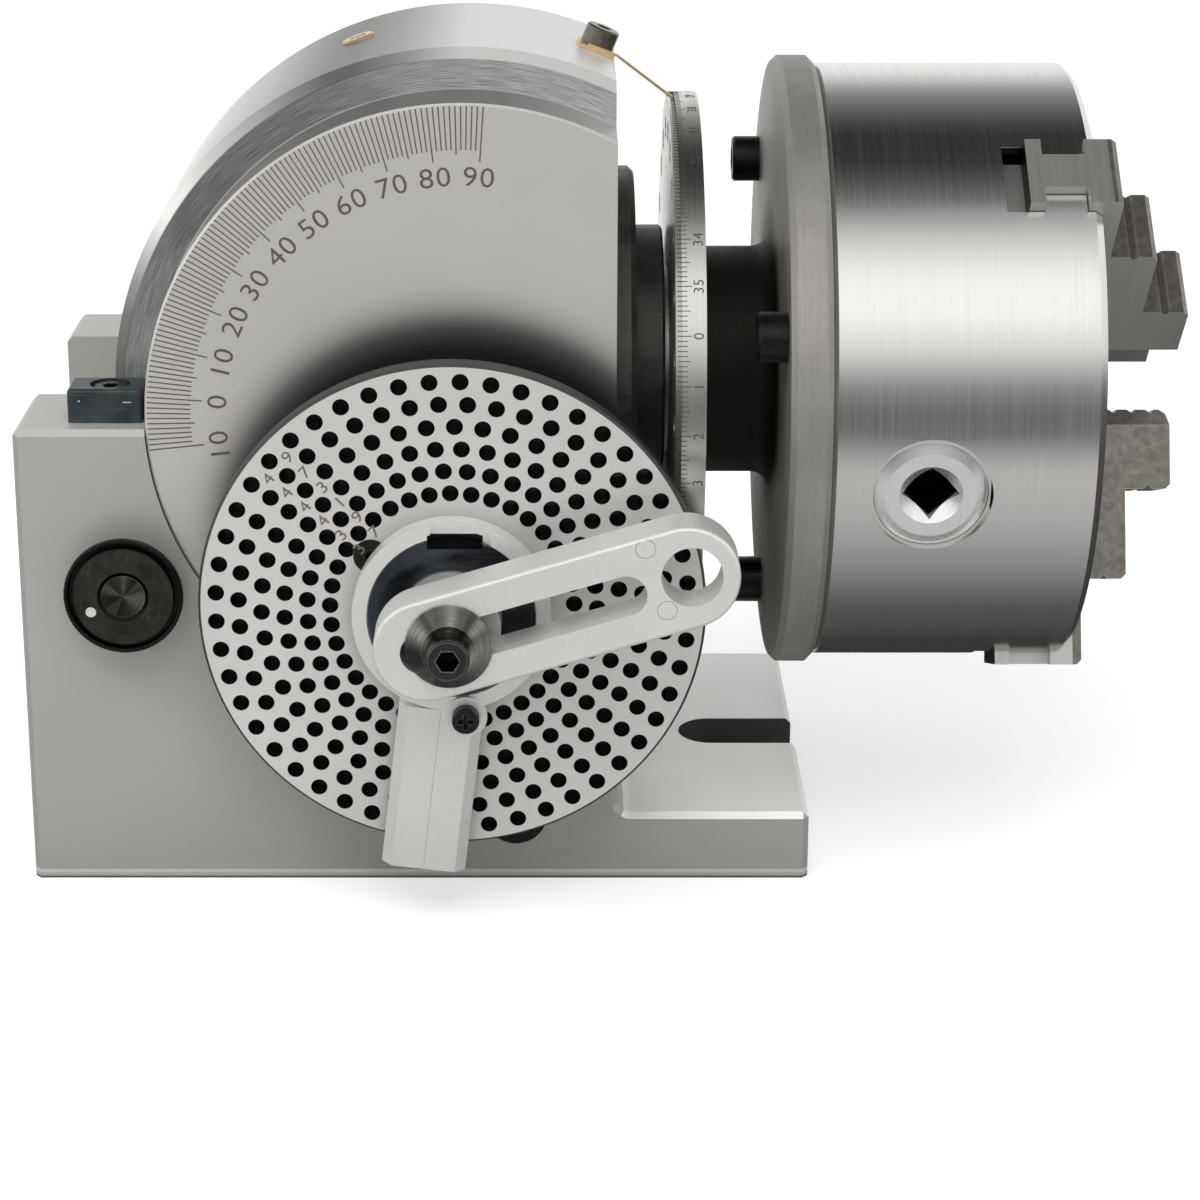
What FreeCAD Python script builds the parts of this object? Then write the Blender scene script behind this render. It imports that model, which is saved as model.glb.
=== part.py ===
import FreeCAD, Part
import math
import os
from types import SimpleNamespace

import Sketcher

# Dividing head with a three-jaw chuck.
# Millimetres, +Z up. The origin lies on the base face, straight below the swivel axis.
# +X runs along the spindle towards the chuck, +Y points to the back.

Vector = FreeCAD.Vector
ALONG_X = Vector(1, 0, 0)
ALONG_Y = Vector(0, 1, 0)
ALONG_Z = Vector(0, 0, 1)
HALF_TURN = 180
FULL_TURN = 360

DOCUMENT = FreeCAD.newDocument("dividing_head")
SHEET = DOCUMENT.addObject("Spreadsheet::Sheet", "Sizes")

SIZES = (
    # Base casting
    ("centre_height", 100.0, "swivel and spindle axes above the base face"),
    ("base_left", 90.1, "base, left of the swivel axis"),
    ("base_right", 70.9, "base, right of the swivel axis"),
    ("base_front", 44.3, "base, in front of the spindle"),
    ("base_back", 48.0, "base, behind the spindle"),
    ("foot_height", 14.5, "thickness of the foot"),
    ("cheek_height", 97.4, "top of the cheeks"),
    ("cheek_right", 31.1, "right end of the cheeks"),
    ("front_cheek", 26.2, "thickness of the front cheek"),
    ("rear_cheek", 20.5, "thickness of the rear cheek"),
    ("edge_break", 1.2, "chamfer on the machined edges of the base"),
    ("corner_round", 3.0, "round where the cheeks meet the foot"),
    ("slot_width", 14.0, "hold-down slot"),
    ("slot_reach", 18.4, "hold-down slot, from the end to the centre of its round"),
    ("keyway_width", 14.0, "guide keyways under the foot"),
    ("keyway_depth", 3.0, "depth of the guide keyways"),
    ("keyway_length", 42.0, "guide keyways, from the ends of the foot"),
    # Head casting
    ("face_radius", 63.4, "graduated face disc"),
    ("drum_radius", 71.5, "drum between the cheeks"),
    ("drum_front", 29.3, "drum shoulder, in front of the spindle"),
    ("drum_back", 30.2, "drum shoulder, behind the spindle"),
    ("drum_break", 2.0, "chamfer of the drum"),
    ("head_flat", 30.4, "flat front of the head, from the swivel axis"),
    ("cradle_gap", 0.3, "play between the drum and its cradle"),
    ("ledge_gap", 0.1, "side play of the drum"),
    ("running_gap", 0.05, "radial clearance of running fits"),
    ("fit_gap", 0.02, "radial clearance of parts that stay put"),
    # Spindle line
    ("journal_radius", 20.0, "front journal of the spindle"),
    ("collar_radius", 24.0, "thrust collar of the spindle"),
    ("collar_width", 5.1, "thrust collar of the spindle"),
    ("collar_play", 0.1, "end play of the thrust collar"),
    ("seat_radius", 17.0, "wheel seat of the spindle"),
    ("rear_journal", 15.0, "rear journal of the spindle"),
    ("tail_radius", 14.0, "threaded tail of the spindle"),
    ("tail_length", 60.0, "spindle tail, left of the swivel axis"),
    ("nose_radius", 17.9, "spindle nose"),
    ("nose_back", 1.0, "spindle nose end behind the chuck joint"),
    ("bore_radius", 7.5, "bore through the spindle"),
    ("taper_radius", 8.9, "mouth of the taper socket"),
    ("taper_length", 56.0, "length of the taper socket"),
    ("bush_wall", 8.2, "wall of the front bush"),
    ("rear_bush_wall", 4.0, "wall of the rear bush"),
    ("rear_bush_end", 45.0, "left end of the rear bush, from the swivel axis"),
    ("rear_bush_length", 30.0, "length of the rear bush"),
    ("nut_recess", 22.0, "radius of the recess round the locknut"),
    ("locknut_radius", 20.0, "spindle locknut"),
    ("locknut_length", 9.0, "spindle locknut"),
    ("thrust_thickness", 1.5, "thrust washer behind the locknut"),
    ("key_width", 4.0, "wheel key"),
    ("key_height", 4.0, "wheel key"),
    ("cover_radius", 41.0, "flange of the nose cover"),
    ("cover_thickness", 4.2, "flange of the nose cover"),
    ("boss_radius", 28.5, "boss of the nose cover"),
    ("boss_length", 6.1, "boss of the nose cover"),
    ("cover_screw_circle", 34.8, "circle of the cover screws"),
    ("dial_gap", 1.0, "gap between the nose cover and the dial"),
    ("dial_radius", 56.5, "graduated dial"),
    ("dial_thickness", 6.0, "graduated dial"),
    ("index_hole_circle", 49.0, "circle of the direct index holes"),
    ("index_hole_radius", 2.5, "direct index holes"),
    ("index_hole_depth", 4.2, "direct index holes"),
    ("hub_radius", 24.0, "hub of the backplate"),
    ("hub_length", 15.9, "hub of the backplate"),
    ("hub_round", 4.0, "round between the hub and the disc"),
    ("backplate_radius", 64.2, "disc of the backplate"),
    ("backplate_thickness", 8.2, "disc of the backplate"),
    ("rim_break", 1.2, "chamfer of the turned rims"),
    ("register_depth", 3.5, "register boss of the backplate"),
    ("chuck_screw_circle", 54.0, "circle of the chuck screws"),
    ("chuck_screw_radius", 3.0, "chuck screws"),
    ("chuck_screw_grip", 22.0, "chuck screws, below the head"),
    # Worm drive
    ("gear_module", 1.25, "module of the worm gear"),
    ("wheel_teeth", 40, "teeth of the worm wheel"),
    ("wheel_width", 12.0, "worm wheel"),
    ("wheel_shift", 2.0, "middle of the worm wheel, left of the swivel axis"),
    ("worm_pitch_radius", 9.0, "worm"),
    ("worm_turns", 4, "turns of the worm thread"),
    ("flank_angle", 20.0, "pressure angle"),
    ("tooth_play", 0.15, "flank clearance of each tooth"),
    ("root_play", 0.3, "clearance at the tooth roots"),
    ("shaft_radius", 6.0, "worm shaft"),
    ("worm_tail", 4.0, "plain end of the worm behind its thread"),
    ("eccentricity", 3.5, "throw of the worm sleeve"),
    ("throw_angle", 25.0, "throw of the worm sleeve, from upright"),
    ("sleeve_radius", 14.5, "worm sleeve"),
    ("sleeve_end", 17.0, "inner end of the sleeve, in front of the spindle"),
    ("worm_bore_back", 16.5, "back of the worm bore, behind the spindle"),
    ("plate_back", 57.0, "back of the index plate, in front of the spindle"),
    ("plate_thickness", 4.5, "index plate"),
    ("plate_radius", 50.0, "index plate"),
    ("plate_hole_radius", 1.65, "index plate holes"),
    ("plate_hole_depth", 3.6, "index plate holes"),
    ("first_hole_angle", 139.0, "first holes of the index plate"),
    ("outer_circle", 46.5, "outermost hole circle"),
    ("circle_step", 4.5, "step between hole circles"),
    ("flange_thickness", 5.0, "sleeve flange behind the plate"),
    ("flange_radius", 23.0, "sleeve flange behind the plate"),
    ("plate_screw_circle", 19.3, "circle of the plate screws"),
    ("sleeve_nose_radius", 14.4, "sleeve nose that carries the sector arms"),
    ("ring_thickness", 2.2, "hub rings of the sector arms"),
    ("ring_radius", 19.5, "hub rings of the sector arms"),
    ("ring_recess", 16.6, "recess for the sector spring"),
    ("spring_thickness", 1.0, "sector spring"),
    ("layer_gap", 0.1, "play between the layers on the sleeve nose"),
    ("arm_reach", 54.0, "sector arms, from the worm axis"),
    ("sector_width", 8.4, "sector arms"),
    ("sector_seam", 6.6, "seam of the sector arms, left of straight down"),
    ("sector_play", 0.06, "play at the seam of the sector arms"),
    ("sector_bevel", 2.1, "bevelled outer edge of the sector arms"),
    ("sector_screw_reach", 20.0, "sector screw, from the worm axis"),
    ("sector_screw_side", 5.0, "sector screw, from the seam"),
    ("worm_collar_radius", 9.8, "collar of the worm shaft"),
    ("crank_back", 72.5, "back of the crank arm, in front of the spindle"),
    ("crank_thickness", 9.0, "crank arm"),
    ("crank_half_width", 10.25, "crank arm"),
    ("crank_left", 4.5, "left round of the crank arm, from the worm axis"),
    ("crank_right", 47.15, "right round of the crank arm, from the worm axis"),
    ("crank_slot_half", 4.0, "half width of the crank slot"),
    ("crank_slot_left", 5.6, "left end of the crank slot, from the worm axis"),
    ("crank_slot_right", 35.2, "right end of the crank slot, from the worm axis"),
    ("crank_eye", 48.2, "plunger eye, from the worm axis"),
    ("crank_eye_radius", 5.9, "plunger eye"),
    ("crank_angle", 16.7, "crank arm above level"),
    ("cone_radius", 8.35, "conical crank washer"),
    ("cone_top_radius", 5.2, "conical crank washer"),
    ("cone_height", 3.2, "conical crank washer"),
    ("lever_reach", 44.6, "release lever"),
    ("lever_angle", 76.0, "release lever below level"),
    ("lever_thickness", 4.6, "release lever"),
    ("lever_ring_wall", 5.5, "ring of the release lever"),
    ("lever_half_width", 4.0, "release lever"),
    ("lever_knob_radius", 6.3, "knob of the release lever"),
    ("lever_gap", 0.9, "release lever in front of the head"),
    # Chuck
    ("chuck_radius", 62.5, "chuck body"),
    ("chuck_length", 52.9, "chuck body"),
    ("chuck_bore", 15.0, "bore of the chuck"),
    ("chuck_hub", 22.0, "hub inside the chuck that carries the scroll"),
    ("cavity_radius", 47.5, "scroll cavity and register"),
    ("chuck_phase", 50.0, "first jaw above the front"),
    ("jaw_count", 3, "jaws, pinions and chuck screws"),
    ("rear_cover_thickness", 5.0, "rear cover of the chuck"),
    ("pinion_height", 19.6, "pinion axis, from the back of the chuck"),
    ("pinion_radius", 11.2, "pinion shank"),
    ("pinion_face", 61.6, "outer face of the pinions, from the chuck axis"),
    ("pinion_shoulder", 48.6, "inner end of the pinion shank"),
    ("pinion_teeth", 8, "pinion"),
    ("ring_teeth", 48, "bevel teeth of the scroll plate"),
    ("gear_inside", 35.0, "inner end of the bevel teeth"),
    ("key_square", 8.0, "square socket of the pinions"),
    ("key_depth", 13.0, "depth of the square socket"),
    ("key_mouth", 6.2, "mouth radius of the square socket"),
    ("key_sink", 2.4, "depth of the mouth cone of the square socket"),
    ("pinion_rim", 2.2, "width of the bevel round the pinion end"),
    ("pinion_rim_fall", 0.9, "fall of the bevel round the pinion end"),
    ("pinion_tail", 3.5, "inner journal of the pinions"),
    ("pinion_tail_end", 19.5, "inner journal end, from the chuck axis"),
    ("pinion_groove", 1.6, "depth of the retaining groove"),
    ("pinion_groove_at", 53.0, "retaining groove, from the chuck axis"),
    ("retainer_radius", 1.8, "pinion retaining pins"),
    ("scroll_front", 34.4, "front of the scroll plate, from the back of the chuck"),
    ("scroll_height", 3.8, "height of the scroll thread"),
    ("scroll_pitch", 6.0, "pitch of the scroll"),
    ("scroll_width", 2.8, "width of the scroll thread"),
    ("scroll_start", 24.6, "middle of the scroll thread at its inner end"),
    ("scroll_turns", 3.4, "turns of the scroll thread"),
    ("scroll_play", 0.25, "clearance above and below the scroll thread"),
    ("slot_floor", 34.2, "floor of the jaw slots, from the back of the chuck"),
    ("jaw_width", 15.6, "jaws"),
    ("jaw_play", 0.2, "side play of the jaws"),
    ("jaw_web", 8.0, "web of the jaws"),
    ("jaw_flange", 3.2, "rear flange of the jaws"),
    ("jaw_web_height", 8.3, "web of the jaws"),
    ("jaw_low_step", 6.6, "outer step of the jaws, above the web"),
    ("jaw_step", 9.5, "rise of each inner step"),
    ("jaw_tip", 11.0, "gripping edge of the jaws, from the chuck axis"),
    ("jaw_tip_half", 1.6, "half width of the gripping edge"),
    ("jaw_inner_step", 28.0, "inner step of the jaws"),
    ("jaw_outer_step", 46.9, "outer step of the jaws"),
    ("jaw_end", 64.8, "outer end of the jaws"),
    ("jaw_corner", 1.0, "bevel of the jaw corners"),
    ("jaw_notch", 0.9, "depth and half width of the gripping grooves"),
    ("jaw_notch_first", 3.0, "first groove of the gripping edge, from the front of the jaw"),
    ("jaw_notch_pitch", 3.9, "grooves of the gripping edge"),
    ("jaw_tooth", 1.8, "thickness of the jaw teeth"),
    ("jaw_tooth_spread", 13.0, "angle that the jaw teeth cover"),
    # Small parts on the base
    ("vernier_left", 79.6, "left side of the vernier block, from the swivel axis"),
    ("vernier_length", 15.0, "vernier block"),
    ("vernier_front", 39.0, "front of the vernier block"),
    ("vernier_depth", 9.4, "vernier block"),
    ("vernier_height", 7.0, "vernier block"),
    ("vernier_round", 0.8, "rounded edges of the vernier block"),
    ("vernier_recess", 4.1, "counterbore radius in the vernier block"),
    ("knob_left", 68.1, "lock knob, left of the swivel axis"),
    ("knob_height", 65.0, "lock knob above the base face"),
    ("knob_radius", 12.0, "lock knob"),
    ("knob_thickness", 7.2, "lock knob"),
    ("knob_stand", 0.4, "lock knob in front of the cheek"),
    ("stud_radius", 4.0, "clamp stud"),
    ("stud_pin_radius", 4.4, "turned end of the clamp stud"),
    ("nut_across", 13.0, "clamp nut across flats"),
    ("nut_height", 6.5, "clamp nut"),
    ("washer_radius", 8.0, "clamp washer"),
    ("washer_thickness", 1.6, "clamp washer"),
    # Small parts on the head
    ("oiler_angle", 18.3, "oiler, left of the top"),
    ("oiler_radius", 3.4, "oiler"),
    ("oiler_depth", 6.0, "oiler"),
    ("oiler_ball", 1.7, "ball of the oiler"),
    ("oiler_back", 3.0, "oiler behind the spindle axis"),
    ("clip_angle", 21.8, "pointer clip, right of the top"),
    ("clip_length", 7.8, "pointer clip"),
    ("clip_width", 8.0, "pointer clip"),
    ("clip_thickness", 1.0, "pointer clip"),
    ("clip_front", 1.0, "pointer clip, middle in front of the spindle"),
    ("pointer_width", 1.2, "pointer strip"),
    ("pointer_thickness", 0.5, "pointer strip"),
    ("pointer_gap", 0.4, "pointer strip short of the dial"),
    ("small_screw_radius", 2.0, "small cap screws"),
    ("small_head_radius", 3.5, "heads of the small cap screws"),
    ("small_head_height", 4.0, "heads of the small cap screws"),
    ("small_key", 3.0, "keys of the small cap screws"),
    ("index_pin_radius", 3.0, "direct index pin"),
    ("index_pin_tip", 2.3, "tip of the direct index pin"),
    ("index_pin_length", 22.0, "direct index pin"),
    ("index_pin_back", 0.6, "direct index pin, back from the flat"),
    ("index_pin_travel", 15.0, "travel of the direct index pin"),
    ("index_pin_angle", 30.0, "direct index pin above level, at the back"),
    ("index_knob_radius", 5.0, "knob of the direct index pin"),
    ("index_knob_height", 7.0, "knob of the direct index pin"),
    ("index_shank", 2.0, "shank of the index pin knob"),
    ("lock_screw_x", 16.0, "spindle lock, right of the swivel axis"),
    ("lock_screw_radius", 5.0, "spindle lock screw"),
    ("lock_head_radius", 8.0, "head of the spindle lock screw"),
    ("lock_head_height", 9.0, "head of the spindle lock screw"),
    ("lock_bar_radius", 2.5, "cross bar of the spindle lock"),
    ("lock_bar_length", 34.0, "cross bar of the spindle lock"),
    ("lock_pad_length", 8.4, "pad of the spindle lock"),
)


class Size:
    """A number that also knows the sheet expression it comes from."""

    def __init__(self, value, text):
        self.value = value
        self.text = text

    def __add__(self, other):
        other = as_size(other)
        return Size(self.value + other.value, f"({self.text} + {other.text})")

    def __radd__(self, other):
        return as_size(other) + self

    def __sub__(self, other):
        other = as_size(other)
        return Size(self.value - other.value, f"({self.text} - {other.text})")

    def __rsub__(self, other):
        return as_size(other) - self

    def __mul__(self, other):
        other = as_size(other)
        return Size(self.value * other.value, f"({self.text} * {other.text})")

    def __rmul__(self, other):
        return as_size(other) * self

    def __truediv__(self, other):
        other = as_size(other)
        return Size(self.value / other.value, f"({self.text} / {other.text})")

    def __rtruediv__(self, other):
        return as_size(other) / self

    def __neg__(self):
        return Size(-self.value, f"(0 - {self.text})")


def as_size(number):
    if isinstance(number, Size):
        return number
    text = f"{abs(number):.9f}"
    return Size(number, text if number >= 0 else f"(0 - {text})")


def cosine(angle):
    angle = as_size(angle)
    return Size(math.cos(math.radians(angle.value)), f"cos({angle.text})")


def sine(angle):
    angle = as_size(angle)
    return Size(math.sin(math.radians(angle.value)), f"sin({angle.text})")


def tangent(angle):
    return sine(angle) / cosine(angle)


def root(number):
    return Size(math.sqrt(number.value), f"sqrt({number.text})")


def fill_sheet():
    """Write the sizes to the sheet and return them by name."""
    sizes = SimpleNamespace()
    for row, (alias, number, meaning) in enumerate(SIZES, start=1):
        SHEET.set(f"A{row}", meaning)
        SHEET.set(f"B{row}", str(number))
        SHEET.setAlias(f"B{row}", alias)
        setattr(sizes, alias, Size(number, f"Sizes.{alias}"))
    DOCUMENT.recompute()
    return sizes


s = fill_sheet()

# Places along the spindle, from the swivel axis towards the chuck
wheel_left = -s.wheel_shift - s.wheel_width / 2
wheel_right = wheel_left + s.wheel_width
front_bore = s.journal_radius + s.bush_wall
cavity_left = wheel_left - s.tooth_play - s.worm_tail
rear_bore = s.rear_journal + s.rear_bush_wall
collar_right = s.head_flat - s.collar_play
collar_left = collar_right - s.collar_width
cover_front = s.head_flat + s.cover_thickness
boss_front = cover_front + s.boss_length
dial_left = boss_front + s.dial_gap
dial_right = dial_left + s.dial_thickness
backplate_left = dial_right + s.hub_length
chuck_back = backplate_left + s.backplate_thickness
chuck_front = chuck_back + s.chuck_length
nose_end = chuck_back - s.nose_back
nose_bore = s.nose_radius + s.fit_gap

# Worm gear
wheel_pitch_radius = s.gear_module * s.wheel_teeth / 2
wheel_tip_radius = wheel_pitch_radius + s.gear_module
wheel_root_radius = wheel_pitch_radius - s.gear_module - s.root_play
worm_tip_radius = s.worm_pitch_radius + s.gear_module
worm_root_radius = s.worm_pitch_radius - s.gear_module - s.root_play
worm_lead = s.gear_module * math.pi
worm_drop = wheel_pitch_radius + s.worm_pitch_radius
worm_height = s.centre_height - worm_drop
worm_place = (-s.wheel_shift, 0, worm_height)
throw_across = s.eccentricity * sine(s.throw_angle)
throw_up = s.eccentricity * cosine(s.throw_angle)
sleeve_place = (throw_across - s.wheel_shift, 0, worm_height - throw_up)
worm_half = worm_lead * s.worm_turns / 2

# Layers in front of the head, as distances in front of the spindle
flange_back = s.plate_back - s.flange_thickness
plate_front = s.plate_back + s.plate_thickness
rear_ring_back = plate_front + s.layer_gap
rear_ring_front = rear_ring_back + s.ring_thickness
front_ring_back = rear_ring_front + s.layer_gap
front_ring_front = front_ring_back + s.ring_thickness
sleeve_nose_front = front_ring_front - s.spring_thickness - s.layer_gap
crank_front = s.crank_back + s.crank_thickness

# Chuck, from the chuck axis and the back of the chuck body
pinion_x = chuck_back + s.pinion_height
scroll_face = chuck_back + s.scroll_front
scroll_top = scroll_face + s.scroll_height
jaw_back = scroll_top + s.scroll_play
jaw_web_back = jaw_back + s.jaw_flange
jaw_head_back = jaw_web_back + s.jaw_web_height
jaw_low_top = jaw_head_back + s.jaw_low_step
jaw_mid_top = jaw_low_top + s.jaw_step
jaw_high_top = jaw_mid_top + s.jaw_step
gear_slope = s.pinion_teeth / s.ring_teeth

SWIVEL = (0, 0, s.centre_height)

CHECKED_CUTS = []
PIECES = []


def bind(thing, name, amount):
    """Tie one property of an object to its size in the sheet."""
    thing.setExpression(name, as_size(amount).text)


def put(thing, place, axis=ALONG_Z, angle=0):
    """Place an object, first turned about an axis through its own origin."""
    angle = as_size(angle)
    if angle.value < 0:
        axis = -axis
        angle = -angle
    if angle.value > HALF_TURN:
        axis = -axis
        angle = FULL_TURN - angle
    numbers = [as_size(number).value for number in place]
    thing.Placement = FreeCAD.Placement(Vector(*numbers), FreeCAD.Rotation(axis, angle.value))
    for letter, number in zip("xyz", place):
        if isinstance(number, Size):
            bind(thing, f"Placement.Base.{letter}", number)
    if "Sizes" in angle.text and angle.value > 0:
        bind(thing, "Placement.Rotation.Angle", angle)


def new_body(label, place=(0, 0, 0), axis=ALONG_Z, angle=0, kept=True):
    body = DOCUMENT.addObject("PartDesign::Body", label)
    body.Label = label
    put(body, place, axis, angle)
    if kept:
        PIECES.append(body)
    return body


def new_sketch(body, plane, shift=0):
    """A sketch on an origin plane of the body, moved along the plane's normal."""
    sketch = body.newObject("Sketcher::SketchObject", f"{body.Name}_{plane}_sketch")
    role = f"{plane}_Plane"
    support = [item for item in body.Origin.OriginFeatures if item.Role == role][0]
    sketch.AttachmentSupport = [(support, "")]
    sketch.MapMode = "FlatFace"
    if isinstance(shift, Size):
        bind(sketch, "AttachmentOffset.Base.z", shift)
    return sketch


def hold(sketch, kind, first, second, amount):
    """Hold a distance between sketch points at a size from the sheet."""
    amount = as_size(amount)
    number = sketch.addConstraint(Sketcher.Constraint(kind, *first, *second, amount.value))
    if "Sizes" in amount.text:
        sketch.renameConstraint(number, f"held_{number}")
        sketch.setExpression(f"Constraints.held_{number}", amount.text)


def outline(sketch, points):
    """A closed outline of straight lines through the given points."""
    start = sketch.GeometryCount
    count = len(points)
    flat = [Vector(as_size(across).value, as_size(up).value, 0) for across, up in points]
    for here in range(count):
        sketch.addGeometry(Part.LineSegment(flat[here], flat[(here + 1) % count]))
    for here in range(count):
        following = start + (here + 1) % count
        sketch.addConstraint(Sketcher.Constraint("Coincident", start + here, 2, following, 1))
    for here, (across, up) in enumerate(points):
        hold(sketch, "DistanceX", (-1, 1), (start + here, 1), across)
        hold(sketch, "DistanceY", (-1, 1), (start + here, 1), up)


def circle(sketch, across, up, radius):
    radius = as_size(radius)
    centre = Vector(as_size(across).value, as_size(up).value, 0)
    number = sketch.addGeometry(Part.Circle(centre, ALONG_Z, radius.value))
    hold(sketch, "DistanceX", (-1, 1), (number, 3), across)
    hold(sketch, "DistanceY", (-1, 1), (number, 3), up)
    hold(sketch, "Radius", (number,), (), radius)


def stadium(sketch, left, right, radius):
    """A level slot with round ends on the sketch's own X axis."""
    left, right, radius = as_size(left), as_size(right), as_size(radius)
    first = sketch.GeometryCount
    quarter = math.pi / 2
    left_centre = Vector(left.value, 0, 0)
    right_centre = Vector(right.value, 0, 0)
    rise = Vector(0, radius.value, 0)
    left_circle = Part.Circle(left_centre, ALONG_Z, radius.value)
    right_circle = Part.Circle(right_centre, ALONG_Z, radius.value)
    sketch.addGeometry(Part.ArcOfCircle(left_circle, quarter, 3 * quarter))
    sketch.addGeometry(Part.LineSegment(left_centre - rise, right_centre - rise))
    sketch.addGeometry(Part.ArcOfCircle(right_circle, -quarter, quarter))
    sketch.addGeometry(Part.LineSegment(right_centre + rise, left_centre + rise))
    for here in range(4):
        following = first + (here + 1) % 4
        sketch.addConstraint(Sketcher.Constraint("Tangent", first + here, 2, following, 1))
    hold(sketch, "DistanceX", (-1, 1), (first, 3), left)
    hold(sketch, "DistanceX", (-1, 1), (first + 2, 3), right)
    hold(sketch, "DistanceY", (-1, 1), (first, 3), 0)
    hold(sketch, "Radius", (first,), (), radius)
    sketch.addConstraint(Sketcher.Constraint("Horizontal", first + 1))


def pad(body, sketch, length, reverse=False, both=False):
    feature = body.newObject("PartDesign::Pad", f"{body.Name}_pad")
    feature.Profile = sketch
    feature.SideType = "Symmetric" if both else "One side"
    feature.Reversed = reverse
    bind(feature, "Length", length)
    sketch.Visibility = False
    return feature


def pocket(body, sketch, depth=None, reverse=False, both=False):
    feature = body.newObject("PartDesign::Pocket", f"{body.Name}_pocket")
    feature.Profile = sketch
    feature.SideType = "Symmetric" if both else "One side"
    feature.Reversed = reverse
    if depth is None:
        feature.Type = "ThroughAll"
    else:
        bind(feature, "Length", depth)
    CHECKED_CUTS.append(feature)
    return feature


def turned(body, plane, axis, points, cut=False):
    """Turn an outline about an axis of its own sketch, as a solid or as a cut."""
    sketch = new_sketch(body, plane)
    outline(sketch, points)
    kind = "Groove" if cut else "Revolution"
    feature = body.newObject(f"PartDesign::{kind}", f"{body.Name}_{kind.lower()}")
    feature.Profile = sketch
    feature.ReferenceAxis = (sketch, [axis])
    feature.Angle = FULL_TURN
    if cut:
        CHECKED_CUTS.append(feature)
    return feature


def turned_along_x(body, points, cut=False):
    return turned(body, "XZ", "H_Axis", points, cut)


def turned_along_y(body, points, cut=False):
    """Points are radius and distance in front of the spindle."""
    return turned(body, "XY", "V_Axis", [(radius, -as_size(front)) for radius, front in points], cut)


def turned_along_z(body, points, cut=False):
    return turned(body, "XZ", "V_Axis", points, cut)


def ring_of(body, features, axis, count):
    """Repeat features round an origin axis of the body."""
    pattern = body.newObject("PartDesign::PolarPattern", f"{body.Name}_pattern")
    pattern.Originals = features
    role = f"{axis}_Axis"
    support = [item for item in body.Origin.OriginFeatures if item.Role == role][0]
    pattern.Axis = (support, [""])
    pattern.Angle = FULL_TURN
    bind(pattern, "Occurrences", count)
    body.Tip = pattern
    return pattern


def edges_where(body, test):
    """Names of the edges of the body's last feature that pass a test."""
    DOCUMENT.recompute()
    shape = body.Tip.Shape
    return [f"Edge{number}" for number, edge in enumerate(shape.Edges, start=1) if test(edge)]


def dress(body, kind, test, amount):
    """Chamfer or fillet the edges that pass a test."""
    base = body.Tip
    names = edges_where(body, test)
    feature = body.newObject(f"PartDesign::{kind}", f"{body.Name}_{kind.lower()}")
    feature.Base = (base, names)
    bind(feature, "Radius" if kind == "Fillet" else "Size", amount)
    body.Tip = feature
    return feature


def near(number, size):
    return abs(number - as_size(size).value) < 1e-3


def box_is(edge, **limits):
    """True if the edge's box has the given sides, such as z_low or x_high."""
    box = edge.BoundBox
    sides = {
        "x_low": box.XMin, "x_high": box.XMax,
        "y_low": box.YMin, "y_high": box.YMax,
        "z_low": box.ZMin, "z_high": box.ZMax,
    }
    return all(near(sides[side], size) for side, size in limits.items())


def hexagon(across):
    """Corners of a hexagon of a given width across flats."""
    corner = across / 2 / cosine(30)
    return [(corner * cosine(60 * turn), corner * sine(60 * turn)) for turn in range(6)]


def cross(across):
    """Corners of a cross recess of a given reach."""
    tip = across / 2
    arm = across / 7
    return [
        (tip, -arm), (tip, arm), (arm, arm), (arm, tip), (-arm, tip), (-arm, arm),
        (-tip, arm), (-tip, -arm), (-arm, -arm), (-arm, -tip), (arm, -tip), (arm, -arm),
    ]


def cap_screw(label, place, sizes, axis=ALONG_Z, angle=0, kept=True, recess=hexagon):
    """A cap screw whose head stands on its own XY plane."""
    head_radius, head_height, shank_radius, grip, key = sizes
    body = new_body(label, place, axis, angle, kept)
    rim = head_radius / 10
    turned_along_z(body, [
        (0, -grip),
        (shank_radius, -grip),
        (shank_radius, 0),
        (head_radius, 0),
        (head_radius, head_height - rim),
        (head_radius - rim, head_height),
        (0, head_height),
    ])
    socket = new_sketch(body, "XY", head_height)
    outline(socket, recess(key))
    pocket(body, socket, head_height / 2)
    return body


def countersunk_screw(label, place, sizes, axis=ALONG_Z, angle=0, kept=True):
    """A countersunk screw whose flat head ends on its own XY plane."""
    head_radius, head_height, shank_radius, grip, key = sizes
    body = new_body(label, place, axis, angle, kept)
    turned_along_z(body, [
        (0, -grip),
        (shank_radius, -grip),
        (shank_radius, -head_height),
        (head_radius, 0),
        (0, 0),
    ])
    socket = new_sketch(body, "XY")
    outline(socket, hexagon(key))
    pocket(body, socket, head_height)
    return body


def together(label, bodies):
    """One named piece that holds several equal solids."""
    group = DOCUMENT.addObject("Part::Compound", label)
    group.Label = label
    group.Links = bodies
    PIECES.append(group)
    return group


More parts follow.
